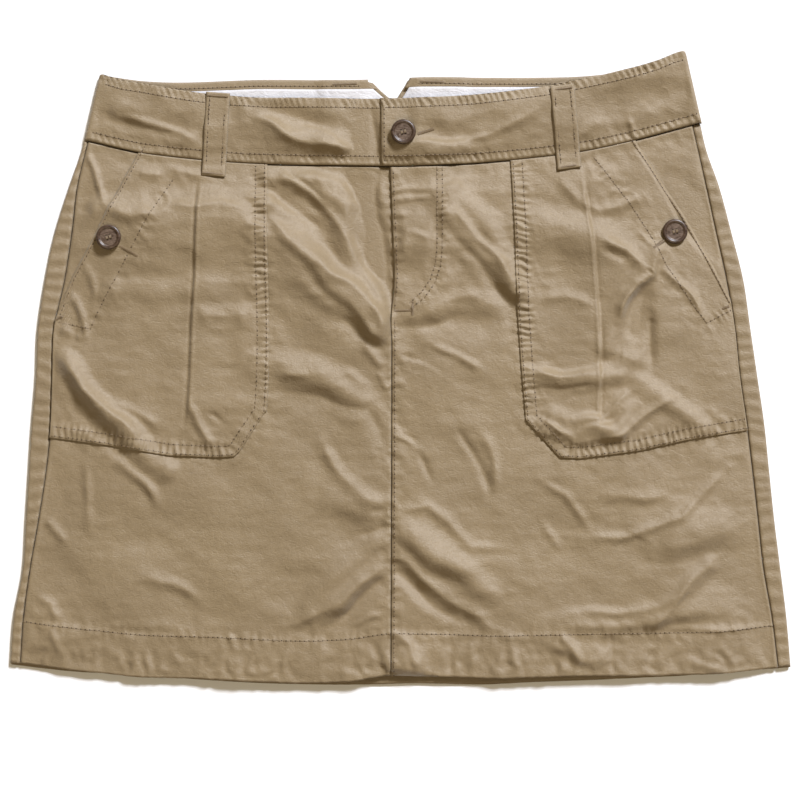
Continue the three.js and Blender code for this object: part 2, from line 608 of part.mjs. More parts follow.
/** Button lying on the cloth under it. */
function button(place) {
  const { radius, thickness, chamfer, edge, round, rim, slope, well, hole, pitch } = BUTTON;
  const profile = [
    [0, 0], [radius - chamfer, 0], [radius, edge], [radius - round, thickness],
    [radius - rim, thickness], [radius - rim - slope, thickness - well], [0, thickness - well],
  ].map(([r, z]) => new THREE.Vector2(r, z));
  const disc = new THREE.LatheGeometry(profile, 20);
  disc.rotateX(Math.PI / 2);
  let solid = solidOf(disc);
  for (let k = 0; k < 4; k += 1) {
    const angle = Math.PI / 4 + k * Math.PI / 2;
    const drill = new THREE.CylinderGeometry(hole, hole, 8, 6);
    drill.rotateX(Math.PI / 2);
    drill.translate(pitch * Math.cos(angle), pitch * Math.sin(angle), 0);
    solid = solid.subtract(solidOf(drill));
  }
  const geometry = geometryOf(solid);
  let seat = 0;
  for (const out of [0, radius / 2, radius]) {
    for (let k = 0; k < 12; k += 1) {
      const angle = k * Math.PI / 6;
      seat = Math.max(seat, place.carried(place.x + out * Math.cos(angle), place.y + out * Math.sin(angle)));
    }
  }
  geometry.translate(place.x, place.y, seat + GAP);
  return geometry;
}

const TWILL = { color: 0xa08c70, roughness: 0.85, metalness: 0 };
const FACING_CLOTH = { color: 0xd9d8d6, roughness: 0.9, metalness: 0 };
const HORN = { color: 0x4a3426, roughness: 0.35, metalness: 0 };
const ZIP_TAPE = { color: 0x8c7a60, roughness: 0.8, metalness: 0 };

const group = new THREE.Group();

function place(name, geometry, finish) {
  const mesh = new THREE.Mesh(geometry, new THREE.MeshStandardMaterial(finish));
  mesh.name = name;
  group.add(mesh);
}

place('back_panel', backPanel(), TWILL);
place('front_left', frontLeft(), TWILL);
place('front_right', frontRight(), TWILL);
place('fly_zip', flyZip(), ZIP_TAPE);
for (const half of ['left', 'right']) {
  place(`pocket_${half}`, pocket(half), TWILL);
  place(`waistband_${half}`, waistband(half), TWILL);
  place(`waistband_facing_${half}`, bandFacing(half), FACING_CLOTH);
}
for (const loop of FRONT_LOOPS) place(loop.name, frontLoop(loop), TWILL);
for (const loop of BACK_LOOPS) place(loop.name, backLoop(loop), TWILL);

const CARRIED = {
  waist_button: (x, y) => LAP_BASE + BAND + foldHeight(x, y) + loopLift(x, y),
  pocket_button_left: (x, y) => pocketUnder(x, y, 'left') + CLOTH,
  pocket_button_right: (x, y) => pocketUnder(x, y, 'right') + CLOTH,
};
for (const spot of BUTTONS) place(spot.name, button({ ...spot, carried: CARRIED[spot.name] }), HORN);

export default group;
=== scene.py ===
import math

import bmesh
import bpy
import numpy as np
from mathutils import Matrix, Vector


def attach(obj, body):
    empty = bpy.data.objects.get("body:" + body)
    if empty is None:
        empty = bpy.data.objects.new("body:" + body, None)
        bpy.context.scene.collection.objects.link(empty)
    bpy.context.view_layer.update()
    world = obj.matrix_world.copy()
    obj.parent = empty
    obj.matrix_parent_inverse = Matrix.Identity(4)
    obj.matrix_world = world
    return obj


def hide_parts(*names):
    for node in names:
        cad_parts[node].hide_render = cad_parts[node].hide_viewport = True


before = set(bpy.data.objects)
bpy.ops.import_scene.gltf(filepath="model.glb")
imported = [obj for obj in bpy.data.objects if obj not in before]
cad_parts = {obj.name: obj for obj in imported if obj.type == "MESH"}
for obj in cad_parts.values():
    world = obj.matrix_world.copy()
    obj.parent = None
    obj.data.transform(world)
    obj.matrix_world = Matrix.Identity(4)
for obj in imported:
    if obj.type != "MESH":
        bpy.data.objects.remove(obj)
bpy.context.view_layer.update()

# Camera
# It looks straight down on the middle of the picture, with the waist at the top.
# At 1.4 m over the cloth its lens takes in 560 mm of the surface.
camera_data = bpy.data.cameras.new("camera")
camera_data.lens = 90
camera_data.sensor_width = 36
camera = bpy.data.objects.new("camera", camera_data)
camera.location = (-0.00035, -0.0217, 1.405)
bpy.context.scene.collection.objects.link(camera)
bpy.context.scene.camera = camera

# Back panel
# One piece of khaki cotton twill, hemmed at its foot. It lies on the surface and turns round
# both sides to the side seams, which show on the front because the skirt is laid a little turned.
MM = 0.001
SEAM_GAP = 0.15
SIDE_FOLD = 1.9
CLOTH_WALL = 0.0008

# Side edges from hem to waist: y, left fold, left seam, right seam, right fold
LEFT_FOLD, LEFT_SEAM, RIGHT_SEAM, RIGHT_FOLD = 1, 2, 3, 4
SIDES = np.array([
    (-208.0, -273.84, -266.6, 264.5, 273.6),
    (-172.9, -271.3, -264.3, 260.1, 270.6),
    (-139.3, -265.0, -259.7, 254.3, 266.4),
    (-105.7, -262.9, -253.8, 250.6, 262.2),
    (-72.1, -260.8, -248.6, 246.8, 258.7),
    (-38.5, -258.7, -245.2, 242.6, 255.2),
    (-4.9, -255.9, -244.0, 237.7, 250.3),
    (28.7, -254.5, -242.7, 234.2, 245.4),
    (62.3, -249.6, -235.6, 228.6, 240.5),
    (95.9, -242.6, -230.4, 221.2, 232.1),
    (129.5, -232.1, -226.3, 213.9, 223.0),
    (153.3, -223.7, -220.7, 208.6, 214.6),
    (174.3, -218.4, -215.4, 203.4, 209.7),
])

# Curves across the front and the back: x, top edge of the waistband, waist seam, hem
TOP, WAIST, HEM = 1, 2, 3
FRONT = np.array([
    (-274, 209.0, 172.6, -205.0),
    (-236, 209.0, 163.9, -210.0),
    (-221, 209.0, 160.4, -211.8),
    (-211, 207.2, 158.1, -212.6),
    (-197, 202.6, 154.7, -214.2),
    (-182, 199.9, 151.5, -215.6),
    (-165, 196.8, 149.2, -216.2),
    (-141, 193.1, 146.6, -216.7),
    (-120, 191.2, 144.9, -217.6),
    (-99, 189.7, 143.7, -218.7),
    (-70, 189.4, 143.0, -219.8),
    (-35, 189.1, 142.4, -218.4),
    (-7, 189.0, 142.1, -214.5),
    (14, 189.4, 142.3, -214.9),
    (35, 190.2, 143.1, -215.4),
    (52, 191.7, 144.2, -215.9),
    (69, 193.4, 145.6, -216.3),
    (84, 195.1, 146.9, -215.9),
    (98, 196.8, 148.4, -215.5),
    (112, 199.3, 150.1, -215.1),
    (126, 202.1, 152.1, -214.7),
    (145, 206.1, 155.8, -214.6),
    (164, 210.6, 160.2, -214.5),
    (180, 215.4, 164.3, -214.3),
    (195, 221.2, 168.4, -214.0),
    (215, 221.2, 173.8, -213.5),
    (274, 221.2, 189.7, -208.0),
])
BACK = np.array([
    (-274, 208.0, 172.6, -207.2),
    (-221, 208.0, 160.4, -212.8),
    (-205, 205.5, 159.4, -213.5),
    (-189, 203.0, 158.0, -214.5),
    (-91, 203.0, 157.5, -220.5),
    (-20, 203.0, 157.5, -221.2),
    (7, 204.4, 158.0, -220.4),
    (62, 204.4, 158.8, -221.2),
    (91, 204.4, 159.4, -219.7),
    (133, 205.8, 160.8, -218.2),
    (172, 211.5, 164.5, -216.3),
    (199, 221.2, 169.5, -215.0),
    (215, 221.2, 173.8, -213.5),
    (274, 221.2, 189.7, -209.3),
])


def smooth(value, low, high):
    """Share from 0 to 1 that rises smoothly while the value goes from low to high."""
    share = np.clip((value - low) / (high - low), 0, 1)
    return share * share * (3 - 2 * share)


def mix(start, end, share):
    """Value at a share of the way from start to end."""
    return start + (end - start) * share


def curve(table, column, place):
    """Value of a table's column at a place, on a smooth curve through its rows."""
    knots, values = table[:, 0], table[:, column]
    slopes = np.gradient(values, knots)
    left = np.clip(np.searchsorted(knots, place) - 1, 0, len(knots) - 2)
    step = knots[left + 1] - knots[left]
    t = np.clip((place - knots[left]) / step, 0, 1)
    return (
        values[left] * (1 + 2 * t) * (1 - t) ** 2
        + values[left + 1] * t * t * (3 - 2 * t)
        + step * (slopes[left] * t * (1 - t) ** 2 - slopes[left + 1] * t * t * (1 - t))
    )


def settle(table, across, share):
    """Point at a share of the height between hem and waist, where the place across depends on y."""
    y = np.zeros_like(share)
    for _ in range(8):
        x = across(y)
        y = mix(curve(table, HEM, x), curve(table, WAIST, x) - 2 * SEAM_GAP, share)
    return x, y


def crumple(x, y, size, seed):
    """Soft unevenness from -1 to 1, whose swells are about size mm across."""
    lattice = np.random.default_rng(seed).uniform(-1, 1, (64, 64))
    u, v = x / size + 200, y / size + 200
    i, j = np.floor(u).astype(int), np.floor(v).astype(int)
    s, t = smooth(u - i, 0, 1), smooth(v - j, 0, 1)
    low = mix(lattice[i % 64, j % 64], lattice[(i + 1) % 64, j % 64], s)
    high = mix(lattice[i % 64, (j + 1) % 64], lattice[(i + 1) % 64, (j + 1) % 64], s)
    return mix(low, high, t)


BACK_LOOPS = {"belt_loop_back_left": -37.5, "belt_loop_back_right": 27.3}
LOOP_LIFT = 1.5
LOOP_BELOW_SEAM = 11


def loop_lift(x, y):
    """How far the cloth is lifted by the back belt loops, which lie under it."""
    lift = 0
    for middle in BACK_LOOPS.values():
        lift = np.maximum(lift, 1 - smooth(np.abs(x - middle), 14, 24))
    below = curve(BACK, WAIST, x) - LOOP_BELOW_SEAM - y
    return LOOP_LIFT * lift * (1 - smooth(below, 4, 18))


def rolled(from_edge, depth, width):
    """How far the cloth turns down towards its edge."""
    return depth * (1 - smooth(from_edge, 0, width)) ** 2


def spread(*stretches):
    """Shares along a grid, from (start, end, count) stretches that follow each other."""
    parts = [np.linspace(start, end, count, endpoint=False) for start, end, count in stretches]
    return np.append(np.concatenate(parts), stretches[-1][1])


def cloth(name, node, across, up, shape, material, wall=CLOTH_WALL, slot="khaki_twill"):
    """Sheet of cloth over a solid: a grid whose points go where shape puts them, with its wall inside."""
    bm = bmesh.new()
    bmesh.ops.create_grid(bm, x_segments=len(across) - 1, y_segments=len(up) - 1, size=0.5)
    mesh = bpy.data.meshes.new(name)
    bm.to_mesh(mesh)
    bm.free()
    flat = np.empty(len(mesh.vertices) * 3)
    mesh.vertices.foreach_get("co", flat)
    flat = flat.reshape(-1, 3) + 0.5
    i = np.rint(flat[:, 0] * (len(across) - 1)).astype(int)
    j = np.rint(flat[:, 1] * (len(up) - 1)).astype(int)
    points = np.column_stack(shape(across[i], up[j]))
    mesh.vertices.foreach_set("co", (points * MM).ravel())
    mesh.shade_smooth()
    mesh.update()
    mesh.materials.append(material)
    obj = bpy.data.objects.new(name, mesh)
    bpy.context.scene.collection.objects.link(obj)
    solidify = obj.modifiers.new("cloth_thickness", "SOLIDIFY")
    solidify.thickness = wall
    solidify.offset = -1
    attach(obj, "root")
    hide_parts(node)
    return obj


def shader_group(name, inputs, outputs):
    """Empty shader group with named float inputs and outputs, given as (name, kind, default)."""
    group = bpy.data.node_groups.new(name, "ShaderNodeTree")
    for label, kind, default in inputs:
        entry = group.interface.new_socket(label, in_out="INPUT", socket_type=kind)
        entry.default_value = default
    for label, kind in outputs:
        group.interface.new_socket(label, in_out="OUTPUT", socket_type=kind)
    return group, group.nodes.new("NodeGroupInput"), group.nodes.new("NodeGroupOutput")


def add_node(tree, kind, links=None, **settings):
    """New node in a tree, with settings on it and its sockets linked or set by name."""
    made = tree.nodes.new(kind)
    for key, value in settings.items():
        setattr(made, key, value)
    for key, value in (links or {}).items():
        if isinstance(value, bpy.types.NodeSocket):
            tree.links.new(value, made.inputs[key])
        else:
            made.inputs[key].default_value = value
    return made


def twill_weave_group():
    """Diagonal ribs of a twill with uneven yarns: their height, and how dark each place is."""
    group, given, out = shader_group(
        "twill_weave",
        [("Ribs Per Metre", "NodeSocketFloat", 1100.0), ("Slub", "NodeSocketFloat", 0.5)],
        [("Height", "NodeSocketFloat"), ("Shade", "NodeSocketFloat")],
    )
    place = add_node(group, "ShaderNodeTexCoord").outputs["Object"]
    rib_angle = (0, 0, math.radians(33))
    turned = add_node(group, "ShaderNodeMapping", {"Vector": place, "Rotation": rib_angle})
    wave_scale = add_node(group, "ShaderNodeMath", {
        0: given.outputs["Ribs Per Metre"], 1: math.pi / 10,
    }, operation="MULTIPLY")
    ribs = add_node(group, "ShaderNodeTexWave", {
        "Vector": turned.outputs[0], "Scale": wave_scale.outputs[0],
        "Distortion": 1.2, "Detail": 1.0, "Detail Scale": 1.5,
    })
    yarn = add_node(group, "ShaderNodeTexNoise", {
        "Vector": place, "Scale": 900.0, "Detail": 3.0, "Roughness": 0.7,
    })
    height = add_node(group, "ShaderNodeMix", {
        0: given.outputs["Slub"], 2: ribs.outputs["Fac"], 3: yarn.outputs["Fac"],
    }, data_type="FLOAT")
    shade = add_node(group, "ShaderNodeMapRange", {
        "Value": height.outputs[0], "From Min": 0.25, "From Max": 0.75, "To Min": 0.0, "To Max": 1.0,
    })
    group.links.new(height.outputs[0], out.inputs["Height"])
    group.links.new(shade.outputs[0], out.inputs["Shade"])
    return group


def washed_group():
    """Uneven tone of washed cloth: wide clouds and small mottling."""
    group, given, out = shader_group(
        "washed",
        [("Cloud Size", "NodeSocketFloat", 0.05), ("Mottle", "NodeSocketFloat", 0.5)],
        [("Tone", "NodeSocketFloat")],
    )
    place = add_node(group, "ShaderNodeTexCoord").outputs["Object"]
    scale = add_node(group, "ShaderNodeMath", {0: 1.0, 1: given.outputs["Cloud Size"]}, operation="DIVIDE")
    clouds = add_node(group, "ShaderNodeTexNoise", {
        "Vector": place, "Scale": scale.outputs[0], "Detail": 4.0,
    })
    mottle = add_node(group, "ShaderNodeTexNoise", {
        "Vector": place, "Scale": 330.0, "Detail": 4.0, "Roughness": 0.65,
    })
    tone = add_node(group, "ShaderNodeMix", {
        0: given.outputs["Mottle"], 2: clouds.outputs["Fac"], 3: mottle.outputs["Fac"],
    }, data_type="FLOAT")
    group.links.new(tone.outputs[0], out.inputs["Tone"])
    return group


def wrinkles_group():
    """Height of the smallest wrinkles of washed cloth: short soft ridges of two sizes."""
    group, given, out = shader_group(
        "wrinkles", [("Size", "NodeSocketFloat", 0.006)], [("Height", "NodeSocketFloat")],
    )
    place = add_node(group, "ShaderNodeTexCoord").outputs["Object"]
    scale = add_node(group, "ShaderNodeMath", {0: 1.0, 1: given.outputs["Size"]}, operation="DIVIDE")
    soft = add_node(group, "ShaderNodeTexNoise", {
        "Vector": place, "Scale": scale.outputs[0], "Detail": 4.0, "Roughness": 0.55, "Distortion": 0.6,
    })
    stretched = add_node(group, "ShaderNodeMapping", {"Vector": place, "Scale": (1.0, 1.9, 1.0)})
    sharp = add_node(group, "ShaderNodeTexNoise", {
        "Vector": stretched.outputs[0], "Scale": scale.outputs[0], "Detail": 2.0, "Distortion": 1.4,
    })
    fold = add_node(group, "ShaderNodeMath", {0: sharp.outputs["Fac"], 1: 0.5}, operation="SUBTRACT")
    ridge = add_node(group, "ShaderNodeMath", {0: fold.outputs[0]}, operation="ABSOLUTE")
    both = add_node(group, "ShaderNodeMath", {
        0: soft.outputs["Fac"], 1: ridge.outputs[0],
    }, operation="SUBTRACT")
    group.links.new(both.outputs[0], out.inputs["Height"])
    return group


twill_weave = twill_weave_group()
washed = washed_group()
wrinkles = wrinkles_group()


def woven_material(
    name, dark, light, roughness, sheen, ribs_per_metre, slub, relief, wrinkle_size, wrinkle_depth,
):
    """Cloth: washed colour between two tones, the weave's relief, and a soft sheen of its yarns."""
    material = bpy.data.materials.new(name)
    material.use_nodes = True
    tree = material.node_tree
    surface = tree.nodes["Principled BSDF"]
    weave = add_node(tree, "ShaderNodeGroup", node_tree=twill_weave)
    weave.inputs["Ribs Per Metre"].default_value = ribs_per_metre
    weave.inputs["Slub"].default_value = slub
    tone = add_node(tree, "ShaderNodeGroup", node_tree=washed)
    share = add_node(tree, "ShaderNodeMix", {
        0: 0.35, 2: tone.outputs["Tone"], 3: weave.outputs["Shade"],
    }, data_type="FLOAT")
    eased = add_node(tree, "ShaderNodeMapRange", {
        "Value": share.outputs[0], "From Min": 0.3, "From Max": 0.7,
    })
    colour = add_node(tree, "ShaderNodeMix", {
        0: eased.outputs[0], 6: (*dark, 1), 7: (*light, 1),
    }, data_type="RGBA")
    gloss = add_node(tree, "ShaderNodeMapRange", {
        "Value": tone.outputs["Tone"], "From Min": 0.3, "From Max": 0.7,
        "To Min": roughness + 0.05, "To Max": roughness - 0.05,
    })
    wrinkled = add_node(tree, "ShaderNodeGroup", node_tree=wrinkles)
    wrinkled.inputs["Size"].default_value = wrinkle_size
    creased = add_node(tree, "ShaderNodeBump", {
        "Height": wrinkled.outputs["Height"], "Distance": wrinkle_depth,
    })
    bump = add_node(tree, "ShaderNodeBump", {
        "Height": weave.outputs["Height"], "Distance": relief, "Strength": 0.7,
        "Normal": creased.outputs["Normal"],
    })
    tree.links.new(colour.outputs[2], surface.inputs["Base Color"])
    tree.links.new(gloss.outputs[0], surface.inputs["Roughness"])
    tree.links.new(bump.outputs["Normal"], surface.inputs["Normal"])
    surface.inputs["Specular IOR Level"].default_value = 1.0
    surface.inputs["Sheen Weight"].default_value = sheen
    surface.inputs["Sheen Roughness"].default_value = 0.5
    return material


KHAKI_DARK = (0.184, 0.126, 0.056)
KHAKI_LIGHT = (0.262, 0.188, 0.096)
khaki_twill = woven_material(
    "khaki_twill", KHAKI_DARK, KHAKI_LIGHT, roughness=0.6, sheen=0.2,
    ribs_per_metre=1250.0, slub=0.6, relief=0.00035, wrinkle_size=0.005, wrinkle_depth=0.00045,
)

# Direction in the plane from which the light falls on the folds
LIGHT = (0.5, 0.86)


def from_path(path, x, y):
    """Distance of points from a line, share of its length where each is nearest, and if that side is lit."""
    ends = np.array(path, float)
    lengths = np.hypot(*np.diff(ends, axis=0).T)
    before = np.concatenate([[0], np.cumsum(lengths)])
    nearest = np.full(np.shape(x), np.inf)
    share, lit = np.zeros(np.shape(x)), np.zeros(np.shape(x))
    for k, length in enumerate(lengths):
        step = (ends[k + 1] - ends[k]) / length
        run = np.clip((x - ends[k, 0]) * step[0] + (y - ends[k, 1]) * step[1], 0, length)
        away_x, away_y = x - ends[k, 0] - run * step[0], y - ends[k, 1] - run * step[1]
        away = np.hypot(away_x, away_y)
        closer = away < nearest
        nearest = np.where(closer, away, nearest)
        share = np.where(closer, (before[k] + run) / before[-1], share)
        lit = np.where(closer, away_x * LIGHT[0] + away_y * LIGHT[1], lit)
    return nearest, share, lit > 0


def near(path, reach, x, y):
    """Which points are within reach of the box round a line."""
    lowest, highest = np.min(path, axis=0) - reach, np.max(path, axis=0) + reach
    return (x > lowest[0]) & (x < highest[0]) & (y > lowest[1]) & (y < highest[1])


# Room between the surface and the cloth that lies on it
REST_GAP = 0.35

# Creases of the back, pressed up from the surface: height, half width, and the line that each follows
BACK_CREASES = [
    (1.5, 13, [(-214, 128), (-160, 112), (-104, 108), (-62, 86)]),
    (1.2, 10, [(-196, 92), (-140, 76), (-96, 48)]),
    (1.6, 13, [(205, 124), (158, 104), (112, 100), (70, 74)]),
    (1.1, 9, [(182, 70), (140, 62), (104, 38)]),
    (1.3, 11, [(-52, 122), (-30, 84), (-14, 40), (2, 8)]),
    (1.2, 10, [(58, 118), (40, 78), (26, 44)]),
    (1.0, 8, [(-118, 20), (-84, 12), (-46, -14)]),
    (1.2, 10, [(34, 6), (76, -2), (122, -26)]),
    (1.4, 11, [(-240, 4), (-206, -34), (-170, -68)]),
    (1.3, 10, [(232, -6), (204, -40), (164, -62)]),
    (0.9, 8, [(-150, -52), (-110, -66), (-72, -62)]),
    (1.0, 9, [(-20, -66), (24, -78), (66, -104)]),
    (0.9, 8, [(104, -82), (150, -92), (196, -84)]),
    (1.2, 12, [(-12, -120), (-58, -150), (-104, -168)]),
    (1.2, 12, [(6, -124), (52, -154), (92, -166)]),
    (0.9, 8, [(-232, -104), (-208, -142), (-190, -176)]),
    (0.9, 8, [(226, -112), (196, -150), (168, -178)]),
    (0.8, 6, [(-70, -184), (-58, -212)]),
    (0.8, 6, [(124, -182), (138, -210)]),
]


def under_height(x, y):
    """Height of the back's outside over the surface that it lies on."""
    from_fold = np.minimum(curve(SIDES, RIGHT_FOLD, y) - x, x - curve(SIDES, LEFT_FOLD, y))
    swell = 0.25 * (1 + crumple(x, y, 45, 53)) + 0.12 * (1 + crumple(x, y, 17, 54))
    bent_x, bent_y = x + 3 * crumple(x, y, 21, 55), y + 3 * crumple(x, y, 18, 56)
    for rise, width, path in BACK_CREASES:
        here = near(path, width, bent_x, bent_y)
        away, share, _ = from_path(path, bent_x[here], bent_y[here])
        crest = (1 - np.clip(away / width, 0, 1)) ** 2 * (1 + 1.2 * np.clip(away / width, 0, 1))
        swell[here] += rise * crest * (0.3 + 0.7 * smooth(0.5 - np.abs(share - 0.5), 0, 0.25))
    swell += 0.35 * np.abs(crumple(x + 0.5 * y, y, 17, 57)) + 0.2 * np.abs(crumple(x, 1.4 * y, 9, 58))
    seated = 1 - smooth(y, 120, 145)
    return REST_GAP + loop_lift(x, y) + swell * seated * smooth(from_fold, 2, 25)


def back_shape(across, up):
    """Section from the right seam over the side, along the surface and up to the left seam."""
    def right_strip(y):
        turn = curve(SIDES, RIGHT_FOLD, y) - SIDE_FOLD
        return mix(curve(SIDES, RIGHT_SEAM, y) + SEAM_GAP, turn, np.clip(across, 0, 1))

    def left_strip(y):
        turn = curve(SIDES, LEFT_FOLD, y) + SIDE_FOLD
        return mix(turn, curve(SIDES, LEFT_SEAM, y) - SEAM_GAP, np.clip(across - 4, 0, 1))

    def underside(y):
        right_turn = curve(SIDES, RIGHT_FOLD, y) - SIDE_FOLD
        left_turn = curve(SIDES, LEFT_FOLD, y) + SIDE_FOLD
        return mix(right_turn, left_turn, np.clip(across - 2, 0, 1))

    right_x, right_y = settle(FRONT, right_strip, up)
    left_x, left_y = settle(FRONT, left_strip, up)
    under_x, under_y = settle(BACK, underside, up)
    angle = np.pi * np.where(across < 2.5, np.clip(across - 1, 0, 1), np.clip(4 - across, 0, 1))
    turned = (1 - np.cos(angle)) / 2
    right = across < 2.5
    top_x, top_y = np.where(right, right_x, left_x), np.where(right, right_y, left_y)
    flat = (across >= 2) & (across <= 3)
    side = np.where(right, 1, -1)
    x = np.where(flat, under_x, top_x + side * SIDE_FOLD * np.sin(angle))
    y = np.where(flat, under_y, mix(top_y, under_y, turned))
    from_seam = np.where(right, x - curve(SIDES, RIGHT_SEAM, y), curve(SIDES, LEFT_SEAM, y) - x)
    on_top = (angle < np.pi / 2) & ~flat
    from_fold = np.where(right, curve(SIDES, RIGHT_FOLD, y) - x, x - curve(SIDES, LEFT_FOLD, y))
    ripple = 0.45 * np.sin(2 * np.pi * (y / 9.5 + 0.6 * crumple(x, y, 24, 51)))
    ripple += 0.3 * crumple(x, y, 14, 52)
    ripple *= smooth(from_fold, 0, 2.5)
    lowest = REST_GAP * (1 - np.cos(angle)) / 2
    z = np.where(flat, under_height(under_x, under_y), SIDE_FOLD * (1 + np.cos(angle)) + lowest)
    return x, y, z + np.where(on_top, ripple - rolled(from_seam, 0.9, 2.2), 0)


# Shares across: 0 to 1 on the right strip, then its turn, the underside, the left turn and the left strip
back_across = spread((0, 1, 8), (1, 2, 8), (2, 3, 150), (3, 4, 8), (4, 5, 8))
back = cloth("back", "back_panel", back_across, spread((0, 1, 190)), back_shape, khaki_twill)

sewing_thread = woven_material(
    "sewing_thread", (0.150, 0.094, 0.040), (0.230, 0.155, 0.075), roughness=0.55, sheen=0.1,
    ribs_per_metre=2600.0, slub=0.3, relief=0.00005, wrinkle_size=0.004, wrinkle_depth=0.0001,
)
# Near-black colour of the flat discs between stitches: painted shade of the needle holes.
painted_hole_shade = bpy.data.materials.new("painted_hole_shade")
painted_hole_shade.use_nodes = True
painted_hole_shade.node_tree.nodes["Principled BSDF"].inputs["Base Color"].default_value = (0.045, 0.026, 0.012, 1)
painted_hole_shade.node_tree.nodes["Principled BSDF"].inputs["Roughness"].default_value = 0.9
STITCH = 3.2


def stations(path, step):
    """Points at even steps along a path, and its direction at each."""
    ends = np.array(path, float)
    run = np.concatenate([[0], np.cumsum(np.hypot(*np.diff(ends, axis=0).T))])
    places = np.arange(step / 2, run[-1], step)
    x, y = np.interp(places, run, ends[:, 0]), np.interp(places, run, ends[:, 1])
    before, after = places - step / 3, places + step / 3
    turn = np.arctan2(
        np.interp(after, run, ends[:, 1]) - np.interp(before, run, ends[:, 1]),
        np.interp(after, run, ends[:, 0]) - np.interp(before, run, ends[:, 0]),
    )
    return x, y, turn


def sew(name, rows, bars, top, side=1):
    """Thread of one piece: rows of single stitches with dark discs of painted shade between them, and bars of
    close stitches set across their line.
    """
    bm = bmesh.new()

    def add_part(part):
        part_mesh = bpy.data.meshes.new("part")
        part.to_mesh(part_mesh)
        part.free()
        bm.from_mesh(part_mesh)
        bpy.data.meshes.remove(part_mesh)

    def add_stitches(path, step, across, length, width, lift):
        x, y, turn = stations(path, step)
        turn = turn + across
        reach_x, reach_y = np.cos(turn) * 0.4 * length, np.sin(turn) * 0.4 * length
        rise = top(x + reach_x, y + reach_y) - top(x - reach_x, y - reach_y)
        size = Matrix.Diagonal((length * MM / 2, width * MM / 2, width * MM / 2.6, 1))
        part = bmesh.new()
        pitches = np.arctan2(rise, 0.8 * length)
        for point, heading, pitch in zip(zip(x, y, top(x, y) + side * lift), turn, pitches):
            turned = Matrix.Rotation(heading, 4, "Z") @ Matrix.Rotation(-pitch, 4, "Y")
            matrix = Matrix.Translation(Vector(point) * MM) @ turned @ size
            bmesh.ops.create_uvsphere(part, u_segments=6, v_segments=4, radius=1, matrix=matrix)
        add_part(part)

    for row in rows:
        add_stitches(row, STITCH, 0, 0.78 * STITCH, 0.55, 0.12)
    for bar, width in bars:
        add_stitches(bar, 0.5, math.pi / 2, width, 0.5, 0.2)
    threads = len(bm.faces)
    # Flat dark discs halfway between the stitches of each row: painted shade where the thread goes into the
    # cloth.
    for row in rows:
        x, y, turn = stations(row, STITCH)
        x, y = x + np.cos(turn) * STITCH / 2, y + np.sin(turn) * STITCH / 2
        part = bmesh.new()
        for point in zip(x, y, top(x, y) + side * 0.08):
            matrix = Matrix.Translation(Vector(point) * MM)
            bmesh.ops.create_circle(part, cap_ends=True, segments=6, radius=0.5 * MM, matrix=matrix)
        add_part(part)
    bm.faces.ensure_lookup_table()
    mesh = bpy.data.meshes.new(name)
    for number, face in enumerate(bm.faces):
        face.material_index = int(number >= threads)
        face.smooth = number < threads
    if side < 0 and rows:
        bmesh.ops.reverse_faces(bm, faces=bm.faces[threads:])
    bm.to_mesh(mesh)
    bm.free()
    mesh.materials.append(sewing_thread)
    mesh.materials.append(painted_hole_shade)
    obj = bpy.data.objects.new(name, mesh)
    bpy.context.scene.collection.objects.link(obj)
    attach(obj, "root")
    return obj


HEM_ROW = 29.5


def across_back(column, rise, start, end):
    """Points along one of the back's curves, raised, from one place to another."""
    x = np.linspace(start, end, 40)
    return np.column_stack([x, curve(BACK, column, x) + rise])


sew("back_stitches", [across_back(HEM, HEM_ROW, -262, 262)], [], under_height, side=-1)

# Front panels
# Two pieces of the same twill, joined at the centre below the fly. The right one has the fly's flap,
# and the left one reaches under it. Both lie on the back in soft folds.
FRONT_BASE = 2 * SIDE_FOLD
FLY_BOTTOM = 39.2

# Lines from hem to waist: y, left tuck, left pocket edge, centre, right pocket edge, right tuck
TUCK_LEFT, POCKET_LEFT, CENTRE, POCKET_RIGHT, TUCK_RIGHT = 1, 2, 3, 4, 5
LINES = np.array([
    (-214, -156.0, -97.0, -6.8, 92.0, 141.0),
    (-62, -152.0, -94.5, -6.3, 88.0, 138.0),
    (-27, -148.0, -93.4, -6.2, 86.7, 138.2),
    (-7, -146.9, -92.2, -6.2, 84.8, 138.7),
    (18, -145.9, -91.8, -6.1, 83.0, 138.7),
    (40, -144.8, -92.0, -6.3, 81.5, 137.6),
    (60, -143.4, -92.4, -4.6, 80.7, 136.0),
    (91, -142.3, -92.8, -5.3, 79.7, 133.1),
    (117, -141.0, -93.0, -6.4, 78.4, 129.5),
    (144, -139.7, -93.2, -7.5, 77.0, 125.7),
    (172, -139.0, -93.5, -8.5, 76.0, 123.5),
])

